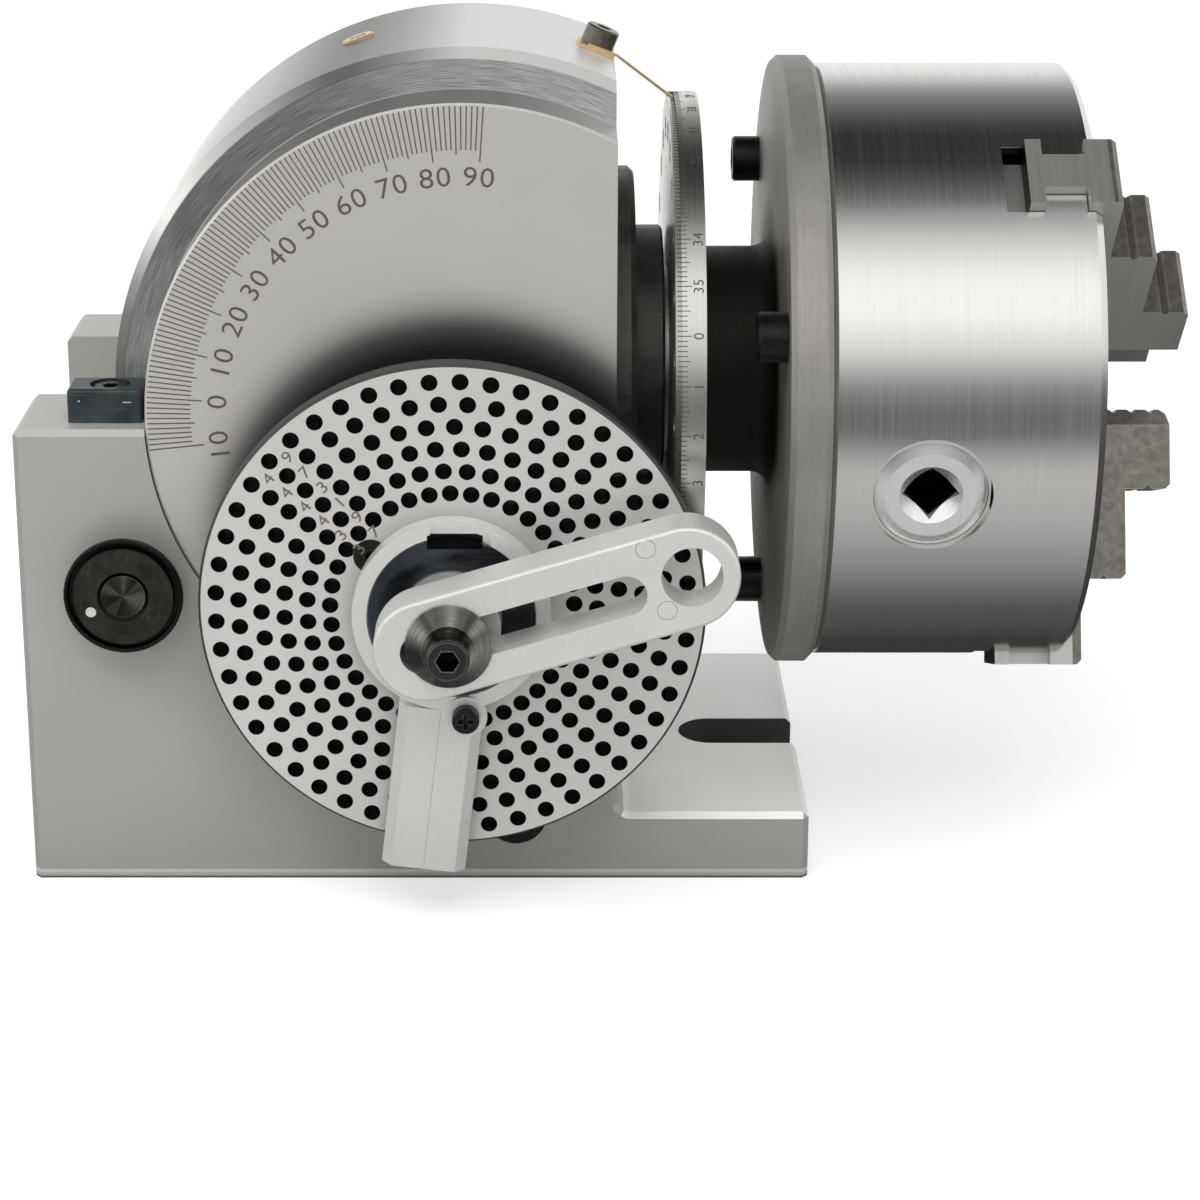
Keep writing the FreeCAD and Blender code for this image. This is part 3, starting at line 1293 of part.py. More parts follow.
def build_worm():
    """The worm shaft and the crank that turns it."""
    shaft = new_body("worm_shaft", worm_place)
    core_end = worm_half + 1.5
    tongue = s.crank_slot_half - 0.1
    turned_along_y(shaft, [
        (0, -core_end - s.worm_tail),
        (s.shaft_radius - 0.5, -core_end - s.worm_tail),
        (s.shaft_radius, -core_end - s.worm_tail + 0.5),
        (s.shaft_radius, -core_end),
        (worm_root_radius, -core_end),
        (worm_root_radius, core_end),
        (s.shaft_radius, core_end),
        (s.shaft_radius, s.crank_back),
        (tongue, s.crank_back),
        (tongue, crank_front - 0.2),
        (0, crank_front - 0.2),
    ])
    screw_hole = new_sketch(shaft, "XZ", crank_front - 0.2)
    circle(screw_hole, 0, 0, 2.5 + s.fit_gap)
    pocket(shaft, screw_hole, 22)
    quarter = worm_lead / 4 - s.tooth_play
    slope = tangent(s.flank_angle)
    inner = worm_root_radius - 0.3
    profile = new_sketch(shaft, "YZ")
    thread_start = -worm_half
    inner_half = quarter + slope * (s.worm_pitch_radius - inner)
    outer_half = quarter - slope * s.gear_module
    outline(profile, [
        (thread_start - inner_half, inner),
        (thread_start + inner_half, inner),
        (thread_start + outer_half, worm_tip_radius),
        (thread_start - outer_half, worm_tip_radius),
    ])
    thread = shaft.newObject("PartDesign::AdditiveHelix", "worm_thread")
    thread.Profile = profile
    thread.ReferenceAxis = (profile, ["H_Axis"])
    thread.Mode = 0
    bind(thread, "Pitch", worm_lead)
    bind(thread, "Height", worm_lead * s.worm_turns)
    shaft.Tip = thread

    collar = new_body("shaft_collar", worm_place)
    collar_back = front_ring_front + 0.3
    turned_along_y(collar, [
        (s.shaft_radius + s.fit_gap, collar_back),
        (s.worm_collar_radius - 0.5, collar_back),
        (s.worm_collar_radius, collar_back + 0.5),
        (s.worm_collar_radius, s.crank_back),
        (s.shaft_radius + s.fit_gap, s.crank_back),
    ])
    arm = new_body("crank_arm", worm_place, ALONG_Y, -s.crank_angle)
    plan = new_sketch(arm, "XZ", s.crank_back)
    stadium(plan, -s.crank_left, s.crank_right, s.crank_half_width)
    pad(arm, plan, s.crank_thickness)
    dress(arm, "Fillet", lambda edge: box_is(edge, y_low=-crank_front, y_high=-crank_front), 0.9)
    slot = new_sketch(arm, "XZ", s.crank_back)
    stadium(slot, -s.crank_slot_left, s.crank_slot_right, s.crank_slot_half)
    pocket(arm, slot, reverse=True)
    eye = new_sketch(arm, "XZ", s.crank_back)
    circle(eye, s.crank_eye, 0, s.crank_eye_radius)
    pocket(arm, eye, reverse=True)
    washer = new_body("cone_washer", worm_place)
    washer_front = crank_front + s.cone_height
    turned_along_y(washer, [
        (2.5 + s.running_gap, crank_front),
        (s.cone_radius, crank_front),
        (s.cone_radius, crank_front + 0.5),
        (s.cone_top_radius, washer_front),
        (2.5 + s.running_gap, washer_front),
    ])
    cap_screw("crank_screw", (-s.wheel_shift, -washer_front, worm_height), (
        as_size(4.2), as_size(5.0), 2.5, 22, as_size(4.0)
    ), ALONG_X, 90)


def build_spindle():
    """The hollow spindle with its wheel, its nut and its dial."""
    spindle = new_body("spindle", SWIVEL)
    tail = -s.tail_length
    journal_end = -s.rear_bush_end - 1
    seat_left = wheel_left - 2
    turned_along_x(spindle, [
        (tail, s.bore_radius),
        (tail, s.tail_radius - 1),
        (tail + 1, s.tail_radius),
        (journal_end, s.tail_radius),
        (journal_end, s.rear_journal),
        (seat_left, s.rear_journal),
        (seat_left, s.seat_radius),
        (wheel_right, s.seat_radius),
        (wheel_right, s.journal_radius),
        (collar_left, s.journal_radius),
        (collar_left, s.collar_radius),
        (collar_right, s.collar_radius),
        (collar_right, s.journal_radius),
        (dial_left, s.journal_radius),
        (dial_left, s.nose_radius),
        (nose_end - 1, s.nose_radius),
        (nose_end, s.nose_radius - 1),
        (nose_end, s.taper_radius),
        (nose_end - s.taper_length, s.bore_radius),
    ])
    half_key = s.key_width / 2 + s.fit_gap
    key_floor = s.seat_radius - s.key_height + 1.5
    keyway = new_sketch(spindle, "XY", key_floor)
    outline(keyway, [
        (wheel_left, -half_key),
        (wheel_right, -half_key),
        (wheel_right, half_key),
        (wheel_left, half_key),
    ])
    pocket(spindle, keyway, s.key_height, reverse=True)

    wheel = new_body("worm_wheel", SWIVEL)
    rim = 0.8
    turned_along_x(wheel, [
        (wheel_left, s.seat_radius + s.fit_gap),
        (wheel_left, wheel_tip_radius - rim),
        (wheel_left + rim, wheel_tip_radius),
        (wheel_right - rim, wheel_tip_radius),
        (wheel_right, wheel_tip_radius - rim),
        (wheel_right, s.seat_radius + s.fit_gap),
    ])
    wheel_keyway = new_sketch(wheel, "XY")
    outline(wheel_keyway, [
        (wheel_left, -half_key),
        (wheel_right, -half_key),
        (wheel_right, half_key),
        (wheel_left, half_key),
    ])
    pocket(wheel, wheel_keyway, key_floor + s.key_height + s.fit_gap, reverse=True)
    slope = tangent(s.flank_angle)
    quarter = worm_lead / 4 + s.tooth_play
    outside = wheel_tip_radius + 1
    floor_half = quarter - slope * (wheel_pitch_radius - wheel_root_radius)
    outside_half = quarter + slope * (outside - wheel_pitch_radius)
    gap = new_sketch(wheel, "YZ")
    lead_ratio = s.gear_module / s.worm_pitch_radius / 2
    lead_angle = Size(math.degrees(math.atan(lead_ratio.value)), f"atan({lead_ratio.text})")
    slant(gap, (0, 0, -s.wheel_shift), ALONG_Y, lead_angle)
    outline(gap, [
        (-floor_half, -wheel_root_radius),
        (floor_half, -wheel_root_radius),
        (outside_half, -outside),
        (-outside_half, -outside),
    ])
    ring_of(wheel, [pocket(wheel, gap, s.wheel_width * 2, both=True)], "X", s.wheel_teeth)

    key = new_body("wheel_key", SWIVEL)
    key_plan = new_sketch(key, "XY", key_floor)
    outline(key_plan, [
        (wheel_left + 0.1, -s.key_width / 2),
        (wheel_right - 0.1, -s.key_width / 2),
        (wheel_right - 0.1, s.key_width / 2),
        (wheel_left + 0.1, s.key_width / 2),
    ])
    pad(key, key_plan, s.key_height)

    washer_right = journal_end - 0.05
    washer_left = washer_right - s.thrust_thickness
    thrust = new_body("thrust_washer", SWIVEL)
    turned_along_x(thrust, [
        (washer_left, s.tail_radius + s.fit_gap),
        (washer_left, s.locknut_radius + 1),
        (washer_right, s.locknut_radius + 1),
        (washer_right, s.tail_radius + s.fit_gap),
    ])
    nut = new_body("locknut", SWIVEL)
    nut_left = washer_left - s.locknut_length
    turned_along_x(nut, [
        (nut_left, s.tail_radius + s.fit_gap),
        (nut_left, s.locknut_radius - 1),
        (nut_left + 1, s.locknut_radius),
        (washer_left, s.locknut_radius),
        (washer_left, s.tail_radius + s.fit_gap),
    ])
    notch = new_sketch(nut, "YZ", nut_left)
    outline(notch, [
        (-2.5, s.locknut_radius - 2),
        (2.5, s.locknut_radius - 2),
        (2.5, s.locknut_radius + 1),
        (-2.5, s.locknut_radius + 1),
    ])
    ring_of(nut, [pocket(nut, notch, s.locknut_length, reverse=True)], "X", 4)

    dial = new_body("dial", SWIVEL)
    turned_along_x(dial, [
        (dial_left, nose_bore),
        (dial_left, s.dial_radius - s.rim_break),
        (dial_left + s.rim_break, s.dial_radius),
        (dial_right, s.dial_radius),
        (dial_right, nose_bore),
    ])
    index_hole = new_sketch(dial, "YZ", dial_left)
    circle(index_hole, *index_pin_middle(), s.index_hole_radius)
    ring_of(dial, [pocket(dial, index_hole, s.index_hole_depth, reverse=True)], "X", 24)


def chuck_body(label, more=0, kept=True):
    """A body on the spindle axis, turned with the chuck."""
    return new_body(label, SWIVEL, ALONG_X, more - s.chuck_phase, kept)


def around_chuck(reach, turn):
    """World Y and Z of a point at a radius, turned from the first jaw."""
    across = -reach * cosine(turn - s.chuck_phase)
    up = s.centre_height - reach * sine(turn - s.chuck_phase)
    return across, up


def build_backplate():
    """The backplate that carries the chuck and the screws through it."""
    plate = chuck_body("backplate")
    register = s.cavity_radius - 0.1
    register_end = chuck_back + s.register_depth
    turned_along_x(plate, [
        (dial_right, nose_bore),
        (dial_right, s.hub_radius),
        (backplate_left, s.hub_radius),
        (backplate_left, s.backplate_radius - s.rim_break),
        (backplate_left + s.rim_break, s.backplate_radius),
        (chuck_back - s.rim_break, s.backplate_radius),
        (chuck_back, s.backplate_radius - s.rim_break),
        (chuck_back, register),
        (register_end, register),
        (register_end, nose_bore),
    ])
    dress(plate, "Fillet", lambda edge: box_is(
        edge, x_low=backplate_left, x_high=backplate_left, z_high=s.hub_radius, z_low=-s.hub_radius
    ), s.hub_round)
    holes = new_sketch(plate, "YZ", chuck_back)
    reach = s.chuck_screw_circle
    circle(holes, -reach * cosine(30), -reach * sine(30), s.chuck_screw_radius + s.fit_gap)
    ring_of(plate, [pocket(plate, holes, s.backplate_thickness)], "X", s.jaw_count)
    screws = []
    for number in range(3):
        across, up = around_chuck(reach, 30 + 120 * number)
        screws.append(cap_screw(f"backplate_screw_{number + 1}", (backplate_left, across, up), (
            as_size(5.0), as_size(6.0), s.chuck_screw_radius, s.chuck_screw_grip, as_size(5.0)
        ), ALONG_Y, -90, kept=False))
    together("backplate_screws", screws)


def build_chuck():
    """The chuck body with its rear cover and its pins."""
    body = chuck_body("chuck_body")
    cover_back = chuck_back + s.register_depth + 0.1
    cover_end = cover_back + s.rear_cover_thickness
    cavity_front = jaw_back
    turned_along_x(body, [
        (chuck_back, s.cavity_radius),
        (chuck_back, s.chuck_radius - 1),
        (chuck_back + 1, s.chuck_radius),
        (chuck_front - 1.5, s.chuck_radius),
        (chuck_front, s.chuck_radius - 1.5),
        (chuck_front, s.chuck_bore + 1),
        (chuck_front - 1, s.chuck_bore),
        (cover_end, s.chuck_bore),
        (cover_end, s.chuck_hub),
        (cavity_front, s.chuck_hub),
        (cavity_front, s.cavity_radius),
    ])
    pinion_bore = new_sketch(body, "XZ", -(s.cavity_radius - 5))
    circle(pinion_bore, pinion_x, 0, s.pinion_radius + s.running_gap)
    bored = pocket(body, pinion_bore)
    tail_bore = new_sketch(body, "XZ", -(s.pinion_tail_end - 0.2))
    circle(tail_bore, pinion_x, 0, s.pinion_tail + s.running_gap)
    tails = pocket(body, tail_bore, 10)
    mouth = new_sketch(body, "XZ", -(s.chuck_radius - 1.3))
    circle(mouth, pinion_x, 0, s.pinion_radius + 0.8)
    chamfered = pocket(body, mouth)
    pin_hole = new_sketch(body, "YZ", chuck_back)
    circle(pin_hole, s.pinion_groove_at, 0, s.retainer_radius + s.fit_gap)
    pinned = pocket(body, pin_hole, s.pinion_height, reverse=True)
    screw_hole = new_sketch(body, "YZ", chuck_back)
    reach = s.chuck_screw_circle
    circle(screw_hole, -reach * cosine(30), -reach * sine(30), s.chuck_screw_radius + s.fit_gap)
    screwed = pocket(body, screw_hole, s.chuck_screw_grip - s.backplate_thickness + 2, reverse=True)
    cover_hole = new_sketch(body, "YZ", cover_end)
    circle(cover_hole, s.chuck_hub - 3.5, 0, 1.5 + s.fit_gap)
    covered = pocket(body, cover_hole, 8, reverse=True)
    outside = s.chuck_radius + 2
    slots = []
    for start, end, half in (
        (chuck_back + s.slot_floor, jaw_web_back, s.jaw_width / 2 + s.jaw_play),
        (jaw_web_back - 0.1, jaw_head_back, s.jaw_web / 2 + s.jaw_play),
        (jaw_head_back - 0.1, chuck_front + 1, s.jaw_width / 2 + s.jaw_play),
    ):
        slot = new_sketch(body, "YZ", start)
        outline(slot, [(-outside, -half), (-8, -half), (-8, half), (-outside, half)])
        slots.append(pocket(body, slot, end - start, reverse=True))
    ring_of(body, [bored, tails, chamfered, pinned, screwed, covered] + slots, "X", s.jaw_count)

    cover = chuck_body("chuck_rear_cover")
    turned_along_x(cover, [
        (cover_back, s.chuck_bore),
        (cover_back, s.cavity_radius - 0.1),
        (cover_end, s.cavity_radius - 0.1),
        (cover_end, s.chuck_bore),
    ])
    drill = new_sketch(cover, "YZ", cover_back)
    circle(drill, s.chuck_hub - 3.5, 0, 1.5 + s.fit_gap)
    sink = new_sketch(cover, "YZ", cover_back)
    circle(sink, s.chuck_hub - 3.5, 0, 2.8)
    drilled = pocket(cover, drill, s.rear_cover_thickness, reverse=True)
    sunk = pocket(cover, sink, 2, reverse=True)
    ring_of(cover, [drilled, sunk], "X", s.jaw_count)
    screws = []
    pins = []
    for number in range(3):
        turn = 180 + 120 * number
        across, up = around_chuck(s.chuck_hub - 3.5, turn)
        screws.append(cap_screw(f"rear_cover_screw_{number + 1}", (cover_back + 2, across, up), (
            as_size(2.7), as_size(2.0), 1.5, 10, as_size(2.0)
        ), ALONG_Y, -90, kept=False))
        across, up = around_chuck(s.pinion_groove_at, turn)
        pin = new_body(f"pinion_retainer_{number + 1}", (0, across, up), kept=False)
        pin_end = pinion_x - s.pinion_radius + s.pinion_groove - 0.2
        turned_along_x(pin, [
            (chuck_back + 0.1, 0),
            (chuck_back + 0.1, s.retainer_radius),
            (pin_end - 0.4, s.retainer_radius),
            (pin_end, s.retainer_radius - 0.4),
            (pin_end, 0),
        ])
        pins.append(pin)
    together("rear_cover_screws", screws)
    together("pinion_retainers", pins)


def build_scroll():
    """The scroll plate: a spiral thread in front and bevel teeth behind."""
    half_tooth = HALF_TURN / s.ring_teeth
    plate = chuck_body("scroll_plate", half_tooth)
    inner = s.chuck_hub + s.running_gap
    outer = s.cavity_radius - 0.2
    tip_slope = gear_slope - 0.033
    root_slope = gear_slope + 0.041
    teeth_inside = s.gear_inside - 4
    floor = pinion_x + teeth_inside * root_slope + 0.25
    turned_along_x(plate, [
        (floor, inner),
        (floor, teeth_inside),
        (pinion_x + teeth_inside * tip_slope, teeth_inside),
        (pinion_x + outer * tip_slope, outer),
        (scroll_face, outer),
        (scroll_face, inner),
    ])
    gap = new_sketch(plate, "XZ")
    root_angle = Size(math.degrees(math.atan(root_slope.value)), f"atan({root_slope.text})")
    slant(gap, (pinion_x, 0, 0), -ALONG_Y, root_angle)
    outline(gap, [(0, -1.25), (0, 1.25), (-8, 2.9), (-8, -2.9)])
    ring_of(plate, [pocket(plate, gap)], "X", s.ring_teeth)
    start = s.scroll_start + s.scroll_pitch / s.ring_teeth / 2
    half = s.scroll_width / 2
    profile = new_sketch(plate, "XY")
    outline(profile, [
        (scroll_face - 0.5, -start - half),
        (scroll_top, -start - half),
        (scroll_top, -start + half),
        (scroll_face - 0.5, -start + half),
    ])
    spiral = plate.newObject("PartDesign::AdditiveHelix", "scroll_thread")
    spiral.Profile = profile
    spiral.ReferenceAxis = (profile, ["H_Axis"])
    spiral.Mode = 3
    spiral.Height = 0
    bind(spiral, "Turns", s.scroll_turns)
    bind(spiral, "Growth", s.scroll_pitch)
    plate.Tip = spiral


def build_pinions():
    """Three bevel pinions that turn the scroll plate."""
    for number in range(3):
        turn = 150 + 120 * number - s.chuck_phase
        pinion = new_body(f"pinion_{number + 1}", (pinion_x, 0, s.centre_height), ALONG_X, turn)
        tip_slope = gear_slope + 0.033
        root_slope = gear_slope - 0.041
        inside = s.gear_inside
        outside = s.cavity_radius - 1
        groove = s.pinion_groove_at
        groove_half = s.retainer_radius + 0.2
        neck = outside * root_slope - 0.2
        turned_along_z(pinion, [
            (0, s.pinion_tail_end),
            (s.pinion_tail, s.pinion_tail_end),
            (s.pinion_tail, inside),
            (inside * tip_slope, inside),
            (outside * tip_slope, outside),
            (neck, outside),
            (neck, s.pinion_shoulder),
            (s.pinion_radius, s.pinion_shoulder),
            (s.pinion_radius, groove - groove_half),
            (s.pinion_radius - s.pinion_groove, groove - groove_half),
            (s.pinion_radius - s.pinion_groove, groove + groove_half),
            (s.pinion_radius, groove + groove_half),
            (s.pinion_radius, s.pinion_face - s.pinion_rim_fall),
            (s.pinion_radius - s.pinion_rim, s.pinion_face),
            (s.key_mouth, s.pinion_face),
            (s.key_mouth - s.key_sink, s.pinion_face - s.key_sink),
            (0, s.pinion_face - s.key_sink),
        ])
        corner = s.key_square / root(as_size(2))
        socket = new_sketch(pinion, "XY", s.pinion_face)
        outline(socket, [(corner, 0), (0, corner), (-corner, 0), (0, -corner)])
        pocket(pinion, socket, s.key_depth)
        gap = new_sketch(pinion, "XY")
        root_angle = Size(math.degrees(math.atan(root_slope.value)), f"atan({root_slope.text})")
        slant(gap, (0, 0, 0), ALONG_Y, root_angle)
        opening = 1.25 + 8 * tangent(22.5)
        outline(gap, [(0, -1.25), (8, -opening), (8, opening), (0, 1.25)])
        reach = (outside + 0.6) / cosine(root_angle)
        ring_of(pinion, [pocket(pinion, gap, reach, reverse=True)], "Z", s.pinion_teeth)


def notch(middle, reach, inward):
    """A gripping groove across a face of the jaws: inward is 1 on the gripping edge, -1 on a step."""
    return [
        (middle + inward * s.jaw_notch, reach),
        (middle, reach + inward * s.jaw_notch),
        (middle - inward * s.jaw_notch, reach),
    ]


def build_jaws():
    """Three stepped jaws, each with its own start on the scroll."""
    for number in range(3):
        turn = 90 + 120 * number - s.chuck_phase
        jaw = new_body(f"jaw_{number + 1}", (0, 0, s.centre_height), ALONG_X, turn)
        side = new_sketch(jaw, "XZ")
        outline(side, [
            (jaw_back, s.jaw_tip),
            (jaw_back, s.jaw_end),
            (jaw_low_top - s.jaw_corner, s.jaw_end),
            (jaw_low_top, s.jaw_end - s.jaw_corner),
            (jaw_low_top, s.jaw_outer_step),
            *notch(jaw_low_top + s.jaw_step / 2, s.jaw_outer_step, -1),
            (jaw_mid_top - s.jaw_corner, s.jaw_outer_step),
            (jaw_mid_top, s.jaw_outer_step - s.jaw_corner),
            (jaw_mid_top, s.jaw_inner_step),
            *notch(jaw_mid_top + s.jaw_step / 2, s.jaw_inner_step, -1),
            (jaw_high_top - s.jaw_corner, s.jaw_inner_step),
            (jaw_high_top, s.jaw_inner_step - s.jaw_corner),
            (jaw_high_top, s.jaw_tip + s.jaw_corner),
            (jaw_high_top - s.jaw_corner, s.jaw_tip),
            *notch(jaw_high_top - s.jaw_notch_first, s.jaw_tip, 1),
            *notch(jaw_high_top - s.jaw_notch_first - s.jaw_notch_pitch, s.jaw_tip, 1),
            *notch(jaw_high_top - s.jaw_notch_first - 2 * s.jaw_notch_pitch, s.jaw_tip, 1),
        ])
        pad(jaw, side, s.jaw_width, both=True)
        far = s.jaw_width / 2 + 1
        web = s.jaw_web / 2
        grooves = new_sketch(jaw, "XY")
        web_start = jaw_web_back - s.jaw_play / 2
        web_end = jaw_head_back + s.jaw_play / 2
        outline(grooves, [(web_start, web), (web_end, web), (web_end, far), (web_start, far)])
        outline(grooves, [(web_start, -web), (web_start, -far), (web_end, -far), (web_end, -web)])
        pocket(jaw, grooves, both=True)
        bevel_end = s.jaw_tip + (far - s.jaw_tip_half) * tangent(30)
        bevels = new_sketch(jaw, "YZ")
        outline(bevels, [
            (s.jaw_tip_half, s.jaw_tip - 1),
            (far, s.jaw_tip - 1),
            (far, bevel_end),
            (s.jaw_tip_half, s.jaw_tip),
        ])
        outline(bevels, [
            (-s.jaw_tip_half, s.jaw_tip - 1),
            (-s.jaw_tip_half, s.jaw_tip),
            (-far, bevel_end),
            (-far, s.jaw_tip - 1),
        ])
        pocket(jaw, bevels, jaw_high_top + 5, reverse=True)
        teeth = new_sketch(jaw, "XZ")
        half = s.jaw_tooth / 2
        first = -0.5 if number < 2 else -1.5
        for tooth in range(7):
            reach = s.scroll_start + s.scroll_pitch * (first + tooth + number / 3)
            outline(teeth, [
                (scroll_face + s.scroll_play, reach - half),
                (jaw_back + 0.5, reach - half),
                (jaw_back + 0.5, reach + half),
                (scroll_face + s.scroll_play, reach + half),
            ])
        arcs = jaw.newObject("PartDesign::Revolution", f"jaw_{number + 1}_teeth")
        arcs.Profile = teeth
        arcs.ReferenceAxis = (teeth, ["H_Axis"])
        arcs.Midplane = True
        bind(arcs, "Angle", s.jaw_tooth_spread)
        jaw.Tip = arcs


def check_document():
    """Stop if any object failed or any cut removed nothing."""
    faults = []
    for item in DOCUMENT.Objects:
        if "Invalid" in item.State or "Error" in item.State:
            faults.append(f"{item.Name} failed: {item.State}")
    for piece in PIECES:
        if piece.Shape.isNull() or not piece.Shape.isValid():
            faults.append(f"{piece.Label} has no valid shape")
    for cut in CHECKED_CUTS:
        if cut.Shape.isNull() or cut.Shape.Volume >= cut.BaseFeature.Shape.Volume - 1e-6:
            faults.append(f"{cut.Name} removed nothing")
    if faults:
        raise RuntimeError("; ".join(faults))


def export_pieces():
    os.makedirs("parts", exist_ok=True)
    for piece in PIECES:
        piece.Shape.exportStep(f"parts/{piece.Label}.step")


build_base()
build_head_casting()
build_head_parts()
build_index_pin()
build_spindle_lock()
build_sleeve()
build_sector_arms()
build_worm()
build_spindle()
build_backplate()
build_chuck()
build_scroll()
build_pinions()
build_jaws()
DOCUMENT.recompute()
check_document()
export_pieces()
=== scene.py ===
"""Looks of the dividing head: finishes, scales, knurl, floor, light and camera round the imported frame."""

import math

import bmesh
import bpy
from mathutils import Matrix, Vector


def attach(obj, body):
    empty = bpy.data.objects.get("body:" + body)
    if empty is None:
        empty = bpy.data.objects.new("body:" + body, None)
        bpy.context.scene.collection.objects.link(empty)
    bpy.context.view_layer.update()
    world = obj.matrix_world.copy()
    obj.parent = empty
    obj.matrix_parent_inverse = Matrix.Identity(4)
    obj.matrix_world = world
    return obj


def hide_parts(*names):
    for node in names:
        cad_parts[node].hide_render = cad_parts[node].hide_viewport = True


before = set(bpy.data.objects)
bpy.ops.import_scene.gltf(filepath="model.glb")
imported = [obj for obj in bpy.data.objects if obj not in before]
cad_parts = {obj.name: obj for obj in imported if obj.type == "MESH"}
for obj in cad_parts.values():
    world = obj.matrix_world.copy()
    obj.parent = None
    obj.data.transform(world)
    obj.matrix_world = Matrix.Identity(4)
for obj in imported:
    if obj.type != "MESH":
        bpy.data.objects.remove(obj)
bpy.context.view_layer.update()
scene = bpy.context.scene

MM = 0.001

# Places on the object, in millimetres
SWIVEL_HEIGHT = 100.0
DISC_FRONT = -44.3
DISC_SIDE = (62.6, 64.3)
RING_FROM = 63.6
DRUM_FROM = 69.3
PLATE_FRONT = -61.5
PLATE_CENTRE = (-2.0, 66.0)
PLATE_HOLES_TO = 49.2
PLATE_RIM_FROM = 49.45
HOLE_DEPTH = 4.2
NOTCH_SIDES = (-6.6, 4.2)
NOTCH_ABOVE_PLATE_CENTRE = (14.1, 16.9)
NOTCH_RADIUS = 17.6
CRANK_LEAN = 16.7
CRANK_FRONT = -81.5
CRANK_CIRCLES = ((41.3, 8.0), (41.8, -5.0))
CIRCLE_RADIUS = 1.95
CIRCLE_LINE = 0.16
CRANK_SOCKET = (PLATE_CENTRE, 2.35, -89.4)
DIAL_RADIUS = 56.5
DIAL_LEFT = 41.7
KNOB_CENTRE = (-68.1, 65.0)
KNOB_FRONT = -51.9
KNOB_FACE = (5.2, 10.0)
KNOB_DOT = (-74.65, 61.8)
KNOB_DOT_RADIUS = 1.05
FOOT_HEIGHT = 14.5
BASE_MIDDLE = -9.6
BASE_SLOTS_FROM = 54.6
BASE_SLOT_HALF = 7.1
BASE_BEVEL_TOP = 1.2
BASE_RUBBED_AND_SHEEN_FROM = 1.6
BASE_SHADOW_TOP = 0.45
# Inside places, (radius, start, end): painted near black as shade in the chuck's jaw slots and round the
# pinions.
CHUCK_INSIDE = [(60.9, 72.3, 124.3), (62.3, 103.0, 122.5)]
PINION_INSIDE = [(59.15, 0.0, 200.0)]
JAW_STEPS_FROM = 126.5
JAW_BACK_TO = 112.0
BACKPLATE_HUB_END = (27.0, 36.0)


# Colours and finishes

def linear(level):
    """One channel of a screen colour, 0 to 255, as linear light."""
    share = level / 255.0
    if share <= 0.04045:
        return share / 12.92
    return ((share + 0.055) / 1.055) ** 2.4


def shade(red, green, blue):
    """A screen colour as the linear colour that a shader takes."""
    return (linear(red), linear(green), linear(blue), 1.0)


